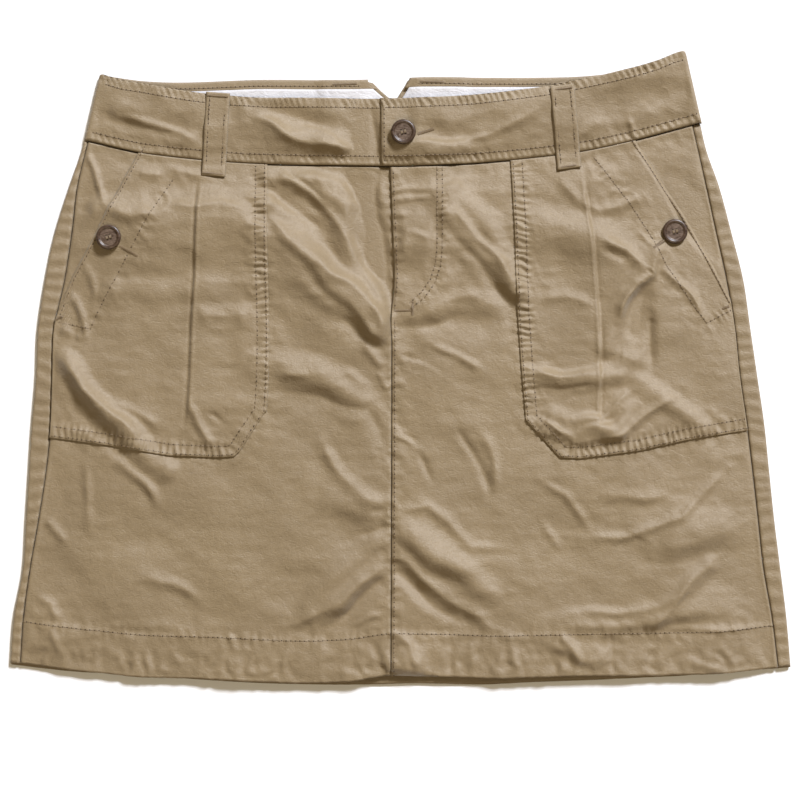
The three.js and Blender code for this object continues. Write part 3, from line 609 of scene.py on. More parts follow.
# Folds and creases of the laid cloth: height, half width and the line that each follows
FOLDS = [
    (2.0, 15, [(-91, 140), (-60, 134), (-42, 112), (-36, 80), (-24, 50), (-15, 28)]),
    (1.4, 13, [(-91, 115), (-49, 69), (-15, 28)]),
    (-0.8, 10, [(-84, 125), (-50, 112), (-34, 90)]),
    (-0.8, 12, [(-77, 55), (-28, 24)]),
    (1.7, 13, [(38, 124), (64, 98), (81, 55)]),
    (-0.8, 11, [(38, 98), (60, 68), (80, 38)]),
    (1.3, 13, [(-212, 112), (-160, 116), (-98, 117)]),
    (0.9, 14, [(-200, 54), (-105, 58)]),
    (1.6, 12, [(-236, 8), (-205, -30), (-165, -71)]),
    (-0.8, 10, [(-232, -12), (-196, -58)]),
    (-0.8, 12, [(-8, -142), (-49, -186)]),
    (-0.8, 12, [(-5, -137), (45, -172)]),
    (1.2, 13, [(-16, -120), (-66, -166)]),
    (1.2, 13, [(4, -112), (62, -156)]),
    (1.5, 12, [(178, 83), (154, 48), (143, 16)]),
    (1.1, 9, [(108, -32), (154, -46)]),
    (1.2, 11, [(168, -10), (210, -42)]),
    (1.1, 10, [(216, -138), (178, -177)]),
    (0.9, 12, [(-196, 181), (-148, 162)]),
    (0.8, 12, [(-108, 178), (-40, 158)]),
    (0.8, 12, [(56, 168), (98, 186)]),
]

# Broad swells: height, half width on the lit side and on the other side, and the crest's line
SWELLS = [
    (3.4, 17, 48, [(-215, 104), (-160, 103), (-110, 102), (-75, 85), (-45, 58), (-18, 30), (-6, 14)]),
    (-3.0, 11, 20, [(-26, 190), (-24, 165), (-23, 140), (-20, 110), (-15, 75), (-9, 50)]),
    (1.3, 9, 16, [(-100, 170), (-70, 161), (-45, 155), (-26, 151)]),
    (1.4, 12, 10, [(-8, 150), (30, 151), (60, 154)]),
    (2.2, 16, 26, [(-95, 5), (-60, -2), (-35, -18), (-12, -45)]),
    (2.6, 14, 16, [(22, 128), (38, 102), (55, 78), (72, 60)]),
    (2.4, 20, 30, [(84, 100), (110, 98), (135, 92), (160, 80)]),
    (2.0, 12, 12, [(90, -7), (125, -9), (150, -5), (165, 6)]),
    (1.6, 10, 10, [(88, -38), (120, -46), (150, -40), (168, -22)]),
    (-1.6, 12, 12, [(170, 62), (167, 40), (166, 15)]),
    (0.8, 12, 12, [(-246, 8), (-225, -16), (-200, -42), (-178, -70)]),
    (1.8, 22, 14, [(0, -112), (25, -132), (60, -145)]),
    (1.4, 12, 10, [(-2, -132), (-30, -155), (-60, -175)]),
    (2.2, 26, 6, [(-9, -211), (20, -213)]),
    (2.0, 34, 14, [(178, -124), (240, -112)]),
    (1.4, 12, 10, [(95, -179), (150, -179), (225, -167)]),
    (1.2, 20, 16, [(-60, -88), (-30, -96), (-10, -98)]),
    (1.0, 22, 30, [(-255, -165), (-225, -196)]),
    (1.2, 16, 8, [(98, -190), (150, -208)]),
    (-1.2, 14, 10, [(-205, 176), (-170, 170), (-140, 163)]),
    (-1.2, 10, 10, [(-100, 180), (-70, 176), (-40, 168)]),
    (-1.2, 10, 10, [(10, 164), (45, 167), (75, 176)]),
    (-1.0, 18, 12, [(120, 178), (160, 186), (198, 196)]),
    (-1.2, 34, 6, [(166, 158), (190, 120), (214, 80)]),
    (2.2, 32, 22, [(-5, 88), (25, 86)]),
    (-1.0, 10, 16, [(5, 32), (40, 33), (75, 36)]),
]

# Creases: height, half width, and the line where the slope towards the waist is lit, or in shadow if negative
CREASES = [
    # Waistband
    (0.6, 5, [(-196, 179), (-172, 175), (-154, 169), (-141, 161)]),
    (0.6, 5, [(-98, 176), (-88, 172), (-76, 165), (-58, 157), (-41, 158), (-21, 155)]),
    (0.4, 4, [(-67, 172), (-53, 169), (-41, 160)]),
    (-0.6, 6, [(20, 161.5), (42, 163), (59, 167), (70, 169)]),
    (0.6, 6, [(-11, 158), (14, 160), (35, 161), (59, 165), (77, 172), (98, 185)]),
    (0.4, 7, [(124, 165), (141, 178)]),
    (0.4, 4, [(159, 178), (164, 164)]),
    # Hip and left pocket
    (0.8, 4, [(-219, 155), (-207, 116)]),
    (0.6, 6, [(-184, 139), (-168, 138)]),
    (0.6, 6, [(-160, 142), (-140, 136)]),
    (0.7, 8, [(-200, 115), (-186, 111), (-168, 113)]),
    (0.7, 8, [(-158, 118), (-140, 115), (-123, 118), (-103, 113)]),
    (0.6, 12, [(-140, 42), (-120, 40), (-103, 42)]),
    (0.6, 4, [(-219, 76), (-214, 66), (-211, 53)]),
    (0.8, 4, [(-234, 54), (-228, 48), (-222, 38), (-219, 26)]),
    (-0.6, 5, [(-236, 44), (-229, 34), (-226, 24)]),
    (0.5, 4, [(-240, 38), (-230, 34)]),
    (0.5, 4, [(-240, 32), (-221, 25)]),
    (1.0, 9, [(-239, 13), (-228, -1), (-217, -11), (-203, -22), (-193, -32), (-181, -47)]),
    (0.4, 6, [(-200, -18), (-168, -39)]),
    (0.6, 6, [(-145, -22), (-128, -54)]),
    (-0.4, 4, [(-130, -29), (-123, -36)]),
    # Under the left pocket
    (0.8, 7, [(-198, -58), (-175, -78), (-168, -90)]),
    (0.4, 6, [(-218, -63), (-217, -99), (-213, -113)]),
    (0.5, 6, [(-247, -104), (-230, -118)]),
    (0.6, 7, [(-179, -141), (-160, -148), (-140, -157)]),
    (0.5, 6, [(-258, -155), (-245, -162), (-238, -176)]),
    (0.5, 5, [(-243, -179), (-237, -197)]),
    (0.4, 4, [(-118, -185), (-116, -195)]),
    # Left front
    (0.8, 8, [(-62, 139), (-41, 132), (-28, 118), (-23, 101), (-20, 80), (-13, 59), (-7, 36)]),
    (0.8, 7, [(-80, 139), (-63, 127), (-48, 111), (-34, 92), (-21, 69), (-11, 45)]),
    (-0.5, 3, [(-79, 140), (-69, 133), (-55, 121)]),
    (-0.6, 7, [(-91, 129), (-72, 115), (-53, 101)]),
    (0.8, 8, [(-93, 115), (-76, 94), (-60, 78), (-41, 67), (-23, 59)]),
    (-0.6, 8, [(-63, 69), (-28, 38)]),
    (0.6, 7, [(-20, 48), (-6, 31)]),
    (-0.6, 7, [(-41, 39), (-7, 15)]),
    (0.6, 6, [(-23, 20), (-11, 3)]),
    (0.4, 4, [(-14, -1), (-7, -15)]),
    (0.4, 6, [(-37, 1), (-20, -11)]),
    (0.4, 6, [(-80, 1), (-62, -2)]),
    (-0.8, 12, [(-80, -10), (-20, -25), (-7, -57)]),
    (0.7, 8, [(-55, -48), (-39, -74), (-21, -88), (-7, -90)]),
    (-0.5, 5, [(-28, -114), (-7, -106)]),
    (-0.5, 5, [(-20, -97), (-7, -97)]),
    # Flap of the fly
    (0.4, 4, [(-6, 124), (22, 129)]),
    (0.5, 4, [(-3, 117), (22, 121)]),
    (0.4, 4, [(-3, 105), (6, 108)]),
    (0.4, 4, [(6, 96), (20, 92)]),
    # Right front
    (0.7, 7, [(24, 127), (47, 135)]),
    (0.8, 7, [(40, 116), (54, 97), (70, 81), (78, 67)]),
    (-0.6, 8, [(38, 97), (56, 76), (78, 48)]),
    (0.5, 10, [(22, 48), (50, 57), (70, 48)]),
    (-0.5, 6, [(1, 31), (42, 36)]),
    (0.6, 6, [(22, 20), (42, 11), (59, 1)]),
    (0.6, 5, [(-3, -43), (10, -51), (17, -60)]),
    (-0.5, 5, [(7, -44), (24, -75)]),
    (0.5, 6, [(59, -41), (66, -60), (68, -81)]),
    (-0.5, 6, [(42, -36), (64, -85)]),
    (0.5, 6, [(0, -97), (21, -92), (35, -104), (50, -123), (77, -125)]),
    # Creases that spread from the foot of the centre seam
    (0.8, 8, [(-3, -129), (7, -133), (21, -146), (42, -162), (66, -177), (77, -181)]),
    (-0.7, 8, [(1, -141), (21, -158), (42, -174)]),
    (0.8, 8, [(-14, -141), (-35, -156), (-58, -169), (-81, -176)]),
    (-0.7, 8, [(-9, -144), (-41, -170)]),
    (0.4, 4, [(-13, -170), (-32, -177)]),
    (0.8, 6, [(-6, -183), (7, -191), (14, -212)]),
    (-0.6, 6, [(-20, -186), (-9, -212)]),
    (-0.4, 5, [(36.4, -184), (36.4, -214)]),
    (0.4, 6, [(48, -186), (52, -212)]),
    (0.4, 5, [(77, -183), (85, -214)]),
    # Right pocket
    (0.6, 6, [(112, 132), (127, 122)]),
    (0.6, 7, [(126, 121), (141, 115), (159, 120), (171, 122)]),
    (0.7, 8, [(143, 94), (159, 87), (169, 76)]),
    (-0.3, 6, [(143, 86), (159, 79)]),
    (0.4, 4, [(169, 97), (178, 87)]),
    (1.0, 6, [(180, 83), (178, 69), (166, 62), (157, 48), (154, 36)]),
    (0.7, 5, [(187, 73), (203, 53), (213, 38)]),
    (0.6, 8, [(98, 50), (115, 53), (134, 46)]),
    (0.7, 6, [(94, -2), (119, -2), (136, -1)]),
    (-0.5, 5, [(96, -12), (134, -11)]),
    (0.4, 7, [(154, 11), (168, 8)]),
    (-0.7, 6, [(176, 40), (176, 5)]),
    (0.7, 5, [(121, -34), (141, -33), (154, -22), (164, -13)]),
    (-0.5, 4, [(127, -39), (141, -36), (155, -29)]),
    (0.7, 6, [(122, -48), (154, -44), (171, -30), (192, -16)]),
    (0.5, 4, [(101, -34), (115, -43)]),
    # Under the right pocket
    (0.5, 6, [(143, -87), (164, -87), (183, -87)]),
    (0.5, 6, [(99, -74), (119, -87), (127, -101), (130, -109)]),
    (0.7, 6, [(126, -116), (159, -113), (182, -106), (196, -102), (210, -87), (232, -67)]),
    (0.4, 5, [(101, -106), (110, -122)]),
    (0.7, 6, [(119, -170), (129, -167), (154, -167), (180, -163), (196, -156), (206, -144), (218, -136)]),
    (0.4, 3, [(178, -177), (196, -158)]),
    (0.4, 4, [(182, -181), (216, -181), (250, -179)]),
    (0.5, 5, [(112, -184), (124, -197), (127, -204)]),
    (-0.4, 4, [(148, -190), (152, -212)]),
    (-0.4, 5, [(171, -204), (185, -212)]),
    (0.4, 5, [(203, -204), (224, -211)]),
]


def beside(path, distance):
    """Line that runs beside a path, to its left as it goes, at a distance."""
    ends = np.array(path, float)
    steps = np.diff(ends, axis=0)
    steps /= np.hypot(*steps.T)[:, None]
    turned = np.vstack([steps[:1], steps[:-1] + steps[1:], steps[-1:]])
    turned[0], turned[-1] = steps[0] * 2, steps[-1] * 2
    turned /= (np.hypot(*turned.T) ** 2)[:, None] / 2
    return ends + distance * np.column_stack([-turned[:, 1], turned[:, 0]])


def down_line(column, shift, start, end):
    """Points down one of the front's lines, shifted across, from one height to another."""
    y = np.linspace(start, end, 24)
    return np.column_stack([curve(LINES, column, y) + shift, y])


def across_front(column, rise, start, end):
    """Points along one of the front's curves, raised, from one place to another."""
    x = np.linspace(start, end, 40)
    return np.column_stack([x, curve(FRONT, column, x) + rise])


POCKET_FEET = {
    "left": [
        (-245.3, -48.3), (-203.4, -53.9), (-160.7, -60.9), (-128.5, -62.3),
        (-116.5, -61.6), (-112, -57.4), (-94.5, -29.8),
    ],
    "right": [
        (87.2, -35.7), (111.4, -62.3), (125.4, -63), (168.4, -57.4), (200.6, -50), (242.6, -43.1),
    ],
}
POCKET_EDGES = {
    "left": np.vstack([POCKET_FEET["left"][:-1], down_line(POCKET_LEFT, 0, -29.8, 143)]),
    "right": np.vstack([down_line(POCKET_RIGHT, 0, 146, -35.7), POCKET_FEET["right"][1:]]),
}
FACING_ROWS = {
    "left": [(-158, 134), (-168.5, 118), (-179, 100.6), (-196.5, 68), (-211, 41), (-217, 28), (-240, 33)],
    "right": [(135, 148.6), (150, 129), (162, 113), (175, 93), (186, 72), (205, 44), (214, 32), (231, 41)],
}
FLY_ROWS = [
    [(29.2, 142), (29.2, 85), (28, 72), (24, 60), (17, 50), (7, 42)],
    [(25.5, 142), (25.5, 86), (24.5, 74), (21, 63), (15, 54), (7, 46.5)],
]

# Where stitches draw the cloth into ripples: the line, how far they reach, their spacing and depth
PUCKERED = [
    (beside(POCKET_EDGES["left"], 5), 9, 4.6, 0.42),
    (beside(POCKET_EDGES["right"], 5), 9, 4.6, 0.42),
    (FLY_ROWS[0], 7, 4.6, 0.32),
    (down_line(CENTRE, 2, 140, -212), 8, 7.5, 0.28),
    (FACING_ROWS["left"], 7, 5.5, 0.16),
    (FACING_ROWS["right"], 7, 5.5, 0.16),
    (across_front(HEM, HEM_ROW, -266, 262), 9, 7.0, 0.20),
    (across_front(HEM, 9, -266, 262), 16, 15.0, 0.35),
]


def pucker(x, y, path, reach, spacing, depth, seed):
    """Uneven ripples across a row of stitches, deepest on it."""
    height = np.zeros(x.shape)
    here = near(path, reach, x, y)
    x, y = x[here], y[here]
    away, share, _ = from_path(path, x, y)
    run = share * np.hypot(*np.diff(np.array(path, float), axis=0).T).sum()
    phase = run / spacing + 0.5 * crumple(x, y, 13, seed) + 0.3 * crumple(x, y, 6, seed + 1)
    strength = depth * (1 - smooth(away, 0, reach)) * (0.8 + 0.7 * crumple(x, y, 10, seed + 2))
    height[here] = strength * np.sin(2 * np.pi * phase)
    return height


CREASE_DEPTH = 1.7
FOLD_GAIN = 2.3
CREASE_GAIN = 2.0
FOLD_ROOM = 3.0
CORNER_LIFT = 7


def fold_height(x, y):
    """Height of the laid cloth's folds and creases, nil along the side seams and the waist seam."""
    x, y = np.broadcast_arrays(np.atleast_1d(x), np.atleast_1d(y))
    folds, creases = np.zeros(x.shape), np.zeros(x.shape)
    bent_x, bent_y = x + 2.5 * crumple(x, y, 23, 11), y + 2.5 * crumple(x, y, 19, 12)
    for rise, width, path in FOLDS:
        here = near(path, width, bent_x, bent_y)
        away, _, _ = from_path(path, bent_x[here], bent_y[here])
        folds[here] += rise * np.cos(np.clip(away / width, 0, 1) * np.pi / 2) ** 2
    for rise, lit_width, dark_width, path in SWELLS:
        here = near(path, max(lit_width, dark_width), bent_x, bent_y)
        away, share, lit = from_path(path, bent_x[here], bent_y[here])
        away = np.clip(away / np.where(lit, lit_width, dark_width), 0, 1)
        ends = 0.3 + 0.7 * smooth(0.5 - np.abs(share - 0.5), 0, 0.25)
        folds[here] += rise * (1 - away) ** 2 * (1 + 2 * away) * ends
    for rise, width, path in CREASES:
        here = near(path, 1.5 * width, bent_x, bent_y)
        away, share, _ = from_path(path, bent_x[here] + 0.2 * width, bent_y[here] + 0.4 * width)
        away = np.clip(away / width, 0, 1)
        crest = mix(np.cos(away * np.pi / 2) ** 2, (1 - away) ** 2, 0.65)
        ends = 0.35 + 0.65 * smooth(0.5 - np.abs(share - 0.5), 0, 0.2)
        creases[here] += CREASE_DEPTH * rise * crest * ends
    creases *= 1 + 0.35 * crumple(x, y, 17, 13)
    uneven = 0.9 * crumple(x, y, 38, 14)
    uneven += 0.30 * crumple(x, 1.4 * y, 17, 15) + 0.10 * crumple(x, 1.3 * y, 7, 16)
    uneven -= 0.20 * np.abs(crumple(x + 0.6 * y, 1.3 * y, 21, 17))
    uneven -= 0.20 * np.abs(crumple(x - 0.5 * y, 1.5 * y, 12, 18))
    seams = np.zeros(x.shape)
    for number, row in enumerate(PUCKERED):
        uneven += pucker(x, y, *row, 30 + 3 * number)
        here = near(row[0], 22, x, y)
        seams[here] = np.maximum(seams[here], 1 - smooth(from_path(row[0], x[here], y[here])[0], 3, 22))
    seams = np.maximum(seams, 1 - smooth(np.abs(y - curve(FRONT, WAIST, x)), 4, 26))
    uneven += seams * (0.2 * crumple(x, y, 5, 19) - 0.3 * np.abs(crumple(x + 0.4 * y, y, 8, 20)))
    from_side = np.minimum(x - curve(SIDES, LEFT_SEAM, y), curve(SIDES, RIGHT_SEAM, y) - x)
    from_waist = np.abs(y - curve(FRONT, WAIST, x))
    folds = FOLD_GAIN * np.clip(folds, -2.2, 4.0) * smooth(from_side, 0, 14) * smooth(from_waist, 0, 12)
    folds += FOLD_ROOM * smooth(from_side, 0, 50) * smooth(from_waist, -4, 26)
    folds += CORNER_LIFT * smooth(x, 80, 190) * smooth(y, 146, 222)
    folds += CREASE_GAIN * (creases + uneven) * smooth(from_side, 0, 5) * smooth(from_waist, -2, 6)
    return np.maximum(folds, -0.8) * (1 - 0.5 * smooth(-folds, 0, 3))


def front_top(x, y, panel):
    """Top of the front cloth: the right one's flap is raised over the left one's underlap."""
    from_centre = x - curve(LINES, CENTRE, y)
    raised = 2.2 * (1 - smooth(from_centre, 32, 46))
    lowered = -0.6 * smooth(from_centre, -8, -1)
    fly = smooth(y, FLY_BOTTOM - 26, FLY_BOTTOM)
    hem = 0.5 * smooth(curve(FRONT, HEM, x) + 31.5 - y, 0, 1.5)
    layers = FRONT_BASE + (raised if panel == "right" else lowered) * fly + hem
    return layers + fold_height(x, y) + loop_lift(x, y)


def front_left_shape(across, up):
    """From the side seam to the centre, and above the fly's foot on to the underlap's edge."""
    def place(y):
        centre = curve(LINES, CENTRE, y) - 1 - SEAM_GAP
        underlap = mix(0.9, 32, smooth(y, FLY_BOTTOM, FLY_BOTTOM + 3))
        main = mix(curve(SIDES, LEFT_SEAM, y) + SEAM_GAP, centre, np.clip(across, 0, 1))
        return main + underlap * np.clip(across - 1, 0, 1)
    x, y = settle(FRONT, place, up)
    from_seam = np.minimum(x - curve(SIDES, LEFT_SEAM, y), curve(FRONT, WAIST, x) - y)
    from_centre = np.where(y < FLY_BOTTOM, curve(LINES, CENTRE, y) - x, 9)
    return x, y, front_top(x, y, "left") - rolled(np.minimum(from_seam, from_centre), 0.9, 2.2)


def front_right_shape(across, up):
    """From the edge of the flap and the centre seam to the side seam."""
    def place(y):
        return mix(curve(LINES, CENTRE, y) + SEAM_GAP, curve(SIDES, RIGHT_SEAM, y) - SEAM_GAP, across)
    x, y = settle(FRONT, place, up)
    from_seam = np.minimum(curve(SIDES, RIGHT_SEAM, y) - x, curve(FRONT, WAIST, x) - y)
    from_seam = np.minimum(from_seam, x - curve(LINES, CENTRE, y))
    return x, y, front_top(x, y, "right") - rolled(from_seam, 0.9, 2.2)


PANEL_ROWS = spread((0, 0.994, 244), (0.994, 1, 4))
left_across = spread((0, 0.01, 3), (0.01, 0.99, 166), (0.99, 1, 3), (1, 2, 6))
right_across = spread((0, 0.01, 4), (0.01, 0.99, 172), (0.99, 1, 4))
for node, front_across, front_shape in (
    ("front_left", left_across, front_left_shape),
    ("front_right", right_across, front_right_shape),
):
    front = cloth(f"{node}_cloth", node, front_across, PANEL_ROWS, front_shape, khaki_twill)

sew(
    "front_right_stitches",
    [*FLY_ROWS, down_line(CENTRE, 2.2, 140, FLY_BOTTOM + 2), down_line(CENTRE, 2.2, FLY_BOTTOM - 4, -213),
     across_front(HEM, HEM_ROW, -4, 261)],
    [([(-4.5, 40.6), (7.5, 40.8)], 1.8), ([(8.6, 47), (8.2, 37.5)], 2.0)],
    lambda x, y: front_top(x, y, "right"),
)
sew(
    "front_left_stitches",
    [across_front(HEM, HEM_ROW, -265, -8)],
    [],
    lambda x, y: front_top(x, y, "left"),
)

# Fly zip
# The closed zip is drawn only as a flat strip of its tape between the flap and the underlap. Nothing of it
# shows.
zip_tape = woven_material(
    "zip_tape", (0.150, 0.110, 0.060), (0.200, 0.150, 0.085), roughness=0.7, sheen=0.1,
    ribs_per_metre=900.0, slub=0.3, relief=0.0001, wrinkle_size=0.01, wrinkle_depth=0.0001,
)


def zip_shape(across, up):
    """Flat strip beside the centre seam, under the flap."""
    y = mix(60.6, 142.2, up)
    x = curve(LINES, CENTRE, y) + mix(2.2, 27.5, across)
    return x, y, FRONT_BASE + 0.5 + fold_height(x, y) + loop_lift(x, y)


zip_grid = spread((0, 1, 12)), spread((0, 1, 36))
fly_zip = cloth("fly_zip_tape", "fly_zip", *zip_grid, zip_shape, zip_tape, wall=0.0007, slot="zip_tape")

# Patch pockets
# Two large pockets of twill with a turned edge, a tuck, a clipped corner and a slanted hand opening.
POCKET_OPENINGS = {
    "left": np.array([
        (-245, 28), (-241.5, 36), (-230, 64.4), (-215.5, 90.3), (-204.3, 112.7), (-181.5, 156), (-180, 999),
    ]),
    "right": np.array([
        (161, 999), (162.5, 163), (187, 125), (197.8, 109.2), (216.4, 77), (232.4, 46.6), (240, 32),
    ]),
}
BUTTONHOLES = {"left": [(-196, 85.8), (-183, 78.6)], "right": [(186, 91), (176.5, 84.5)]}
POCKET_WALL = 1.5
OPENING_BARS = {"left": [(-241, 35), (-236, 37)], "right": [(230, 44), (225, 42)]}


def pocket_top(x, y, panel):
    """Top of a pocket: the front under it, its own cloth, and the tuck's sharp edge."""
    tuck = curve(LINES, TUCK_LEFT if panel == "left" else TUCK_RIGHT, y)
    beyond = tuck - x if panel == "left" else x - tuck
    free = smooth(curve(FRONT, WAIST, x) - y, 8, 40) * smooth(y, -46, -20)
    before = smooth(beyond, -28, 0) + 0.25 * smooth(beyond, -2.5, -0.5)
    rise = np.where(beyond > 0, 1 - beyond / 1.8, before)
    shadow = np.exp(-((beyond - 2.2) / 1.2) ** 2)
    edge = from_path(POCKET_EDGES[panel], x, y)[0]
    opening = from_path(POCKET_OPENINGS[panel][1:-1], x, y)[0]
    return (
        front_top(x, y, panel)
        + POCKET_WALL
        + free * (1.9 * np.maximum(rise, 0) - 0.5 * shadow)
        + 0.5 * (1 - smooth(np.abs(opening - 1.6), 0, 1.5))
        - rolled(np.minimum(edge, opening), 0.5, 1.6)
    )


def pocket_shape(panel):
    """Shape of one pocket, from its foot up to the waist seam and the slanted opening."""
    foot, opening = np.array(POCKET_FEET[panel]), POCKET_OPENINGS[panel]

    def shape(across, up):
        y = np.zeros_like(up)
        for _ in range(10):
            if panel == "left":
                edges = curve(SIDES, LEFT_SEAM, y) + SEAM_GAP, curve(LINES, POCKET_LEFT, y)
            else:
                edges = curve(LINES, POCKET_RIGHT, y), curve(SIDES, RIGHT_SEAM, y) - SEAM_GAP
            x = mix(*edges, across)
            top = np.minimum(curve(FRONT, WAIST, x) - 0.3, np.interp(x, opening[:, 0], opening[:, 1]))
            y = mix(np.interp(x, foot[:, 0], foot[:, 1]), top, up)
        return x, y, pocket_top(x, y, panel)
    return shape


pocket_grid = [spread((0, 0.02, 4), (0.02, 0.98, count), (0.98, 1, 4)) for count in (126, 178)]
for panel in ("left", "right"):
    pocket = cloth(
        f"pocket_{panel}_cloth", f"pocket_{panel}", *pocket_grid, pocket_shape(panel), khaki_twill,
    )
    sew(
        f"pocket_{panel}_stitches",
        [beside(POCKET_EDGES[panel], 1.8), beside(POCKET_EDGES[panel], 8.2), FACING_ROWS[panel],
         beside(POCKET_OPENINGS[panel][1:-1], -2.2)],
        [(BUTTONHOLES[panel], 2.6), (OPENING_BARS[panel], 2.2)],
        lambda x, y: pocket_top(x, y, panel),
    )

# Waistband
# Two halves of folded twill, each from the centre front round its side to the notch at the centre back.
# The top edge is the band's own fold, and the right end laps over the left one under the button.
BAND_FOLD = 2.85
BAND_TOP = 2 * BAND_FOLD
BAND_ENDS = {"left": (-221.9, -211.1), "right": (211.2, 199.4)}
NOTCH_X, NOTCH_LEFT, NOTCH_RIGHT, NOTCH_FROM = -4.4, 18.2, 10.8, 0.64
LAP_FROM, LAP_TO, LAP_UNDER = -13.7, 28, 25.6


def lap_rise(x):
    """Rise of the band where its right end laps over the left one."""
    return 2.1 * (1 - smooth(x, LAP_TO, LAP_TO + 18))


def notch_edge(half, height):
    """Where the notch cuts a half of the band, at a share of its height."""
    opened = np.maximum(0, (height - NOTCH_FROM) / (1 - NOTCH_FROM))
    if half == "left":
        return NOTCH_X - SEAM_GAP - NOTCH_LEFT * opened
    return NOTCH_X + SEAM_GAP + NOTCH_RIGHT * opened


def band_shape(half):
    """Shape of one half of the band: front, turn round the side, and back up to the notch."""
    side = -1 if half == "left" else 1

    def shape(across, up):
        # across: 0 to 1 along the front, 1 to 2 round the side, 2 to 3 along the back to the notch
        # up: 0 to 1 on the outside, 1 to 2 over the folded edge, 2 to 3 down the inside
        along = across if half == "right" else 3 - across
        height = np.where(up < 2, np.clip(up, 0, 1), mix(1, 0.87, up - 2))
        turn = mix(*BAND_ENDS[half], height) - side * BAND_FOLD
        start = LAP_FROM if half == "right" else LAP_UNDER
        front_x = mix(start, turn, np.clip(along, 0, 1))
        back_x = mix(turn, notch_edge(half, height), np.clip(along - 2, 0, 1))
        middle = np.where(along < 1, front_x, np.where(along > 2, back_x, turn))
        front_y = mix(curve(FRONT, WAIST, middle), curve(FRONT, TOP, middle), height)
        back_y = mix(curve(BACK, WAIST, middle), curve(BACK, TOP, middle), height)
        angle = np.clip(along - 1, 0, 1) * np.pi
        wall = mix(1.8, 3.0, smooth(along, 2.0, 2.2))
        rounding = np.pi * np.clip(up - 1, 0, 1)
        depth = wall / 2 * (1 - np.cos(rounding))
        radius = BAND_FOLD - depth
        x = middle + side * radius * np.sin(angle)
        y = mix(front_y, back_y, (1 - np.cos(angle)) / 2) - wall / 2 * (1 - np.sin(rounding)) * (up >= 1)
        carried = fold_height(middle, front_y) * (1 + np.cos(angle)) / 2 + loop_lift(middle, y)
        lapped = lap_rise(middle) * (along <= 1) if half == "right" else 0
        drawn = 1.0 * (smooth(height, 0.84, 0.93) + smooth(-height, -0.17, -0.06)) * smooth(up * 12, 0, 1)
        drawn *= 0.75 + 0.8 * crumple(middle, height * 40, 9, 61)
        uneven = 0.5 * crumple(middle, height * 40, 12, 62)
        waves = np.sin(2 * np.pi * ((middle + 20 * height) / 4.3 + uneven))
        ends = np.abs(middle - LAP_FROM) if half == "right" else 9
        facing_way = np.cos(angle)
        z = BAND_FOLD + radius * facing_way + carried + lapped + REST_GAP * smooth(-facing_way, 0, 1)
        relief = drawn * (waves - 0.4) - rolled(up * 48, 1.3, 2.4) - rolled(ends, 0.9, 2.0) * (along <= 1)
        z += facing_way * relief * (up < 1.5)
        return x, y, np.maximum(z, 0)
    return shape


for half in ("left", "right"):
    along = spread((0, 0.01, 4), (0.01, 1, 190), (1, 2, 8), (2, 3, 150))
    if half == "left":
        along = 3 - along[::-1]
    up = spread((0, 0.05, 3), (0.05, 0.97, 32), (1, 2, 6), (2, 3, 4))
    node = f"waistband_{half}"
    band = cloth(f"{node}_cloth", node, along, up, band_shape(half), khaki_twill)


def band_top(x, y, half):
    """Top of the front of the band, where its stitches lie."""
    return BAND_TOP + fold_height(x, y) + loop_lift(x, y) + (lap_rise(x) if half == "right" else 0)


sew(
    "waistband_left_stitches",
    [across_front(TOP, -6.5, -207, LAP_FROM - 1), across_front(WAIST, 6.6, -216, LAP_FROM - 1)], [],
    lambda x, y: band_top(x, y, "left"),
)
sew(
    "waistband_right_stitches",
    [across_front(TOP, -6.5, LAP_FROM + 2.5, 196), across_front(WAIST, 6.6, LAP_FROM + 2.5, 206),
     [(LAP_FROM + 2.2, 184), (LAP_FROM + 2.4, 147)]],
    [([(12, 163.6), (23.5, 167.6)], 2.6)],
    lambda x, y: band_top(x, y, "right"),
)

# The two bars on the inside hold the heads of the back belt loops
INSIDE_BARS = {"left": [(-47.5, 199.2), (-30.5, 199.8)], "right": [(13.5, 201.4), (30.5, 200.8)]}
INSIDE_TOP = 3.05
for half, ends, seam_ends in (("left", (-205, -28), (-213, -28)), ("right", (12, 197), (12, 205))):
    sew(
        f"waistband_{half}_inside_stitches",
        [across_back(TOP, -4.7, *ends)],
        [(INSIDE_BARS[half], 1.8)],
        lambda x, y: loop_lift(x, y) + REST_GAP + INSIDE_TOP,
    )
    sew(
        f"waistband_{half}_back_stitches",
        [across_back(TOP, -6.5, *ends), across_back(WAIST, 6.6, *seam_ends)],
        [],
        lambda x, y: loop_lift(x, y) + REST_GAP,
        side=-1,
    )

# Facing of the back waistband
# White cotton on the inside of the band, which shows through the open waist below the rolled edge.
facing_cotton = woven_material(
    "facing_cotton", (0.50, 0.48, 0.48), (0.62, 0.61, 0.62), roughness=0.6, sheen=0.2,
    ribs_per_metre=1600.0, slub=0.7, relief=0.00015, wrinkle_size=0.009, wrinkle_depth=0.0006,
)


def facing_shape(half):
    """Shape of one half of the facing, which stops short of the notch."""
    def shape(across, up):
        along = across if half == "right" else 1 - across
        height = mix(0.03, 0.85, up)
        fixed = {"left": -205, "right": 199}[half]
        stop = -4 if half == "left" else 4
        x = mix(notch_edge(half, height) + stop, fixed, along)
        y = mix(curve(BACK, WAIST, x), curve(BACK, TOP, x), height)
        ripple = 0.25 * crumple(x, 0.5 * y, 9, 81) + 0.15 * crumple(x, y, 5, 82)
        return x, y, loop_lift(x, y) + 3.3 + REST_GAP + ripple
    return shape


for half in ("left", "right"):
    node = f"waistband_facing_{half}"
    facing_grid = spread((0, 1, 110)), spread((0, 1, 24))
    facing = cloth(
        f"{node}_cloth", node, *facing_grid, facing_shape(half), facing_cotton, slot="facing_cotton",
    )

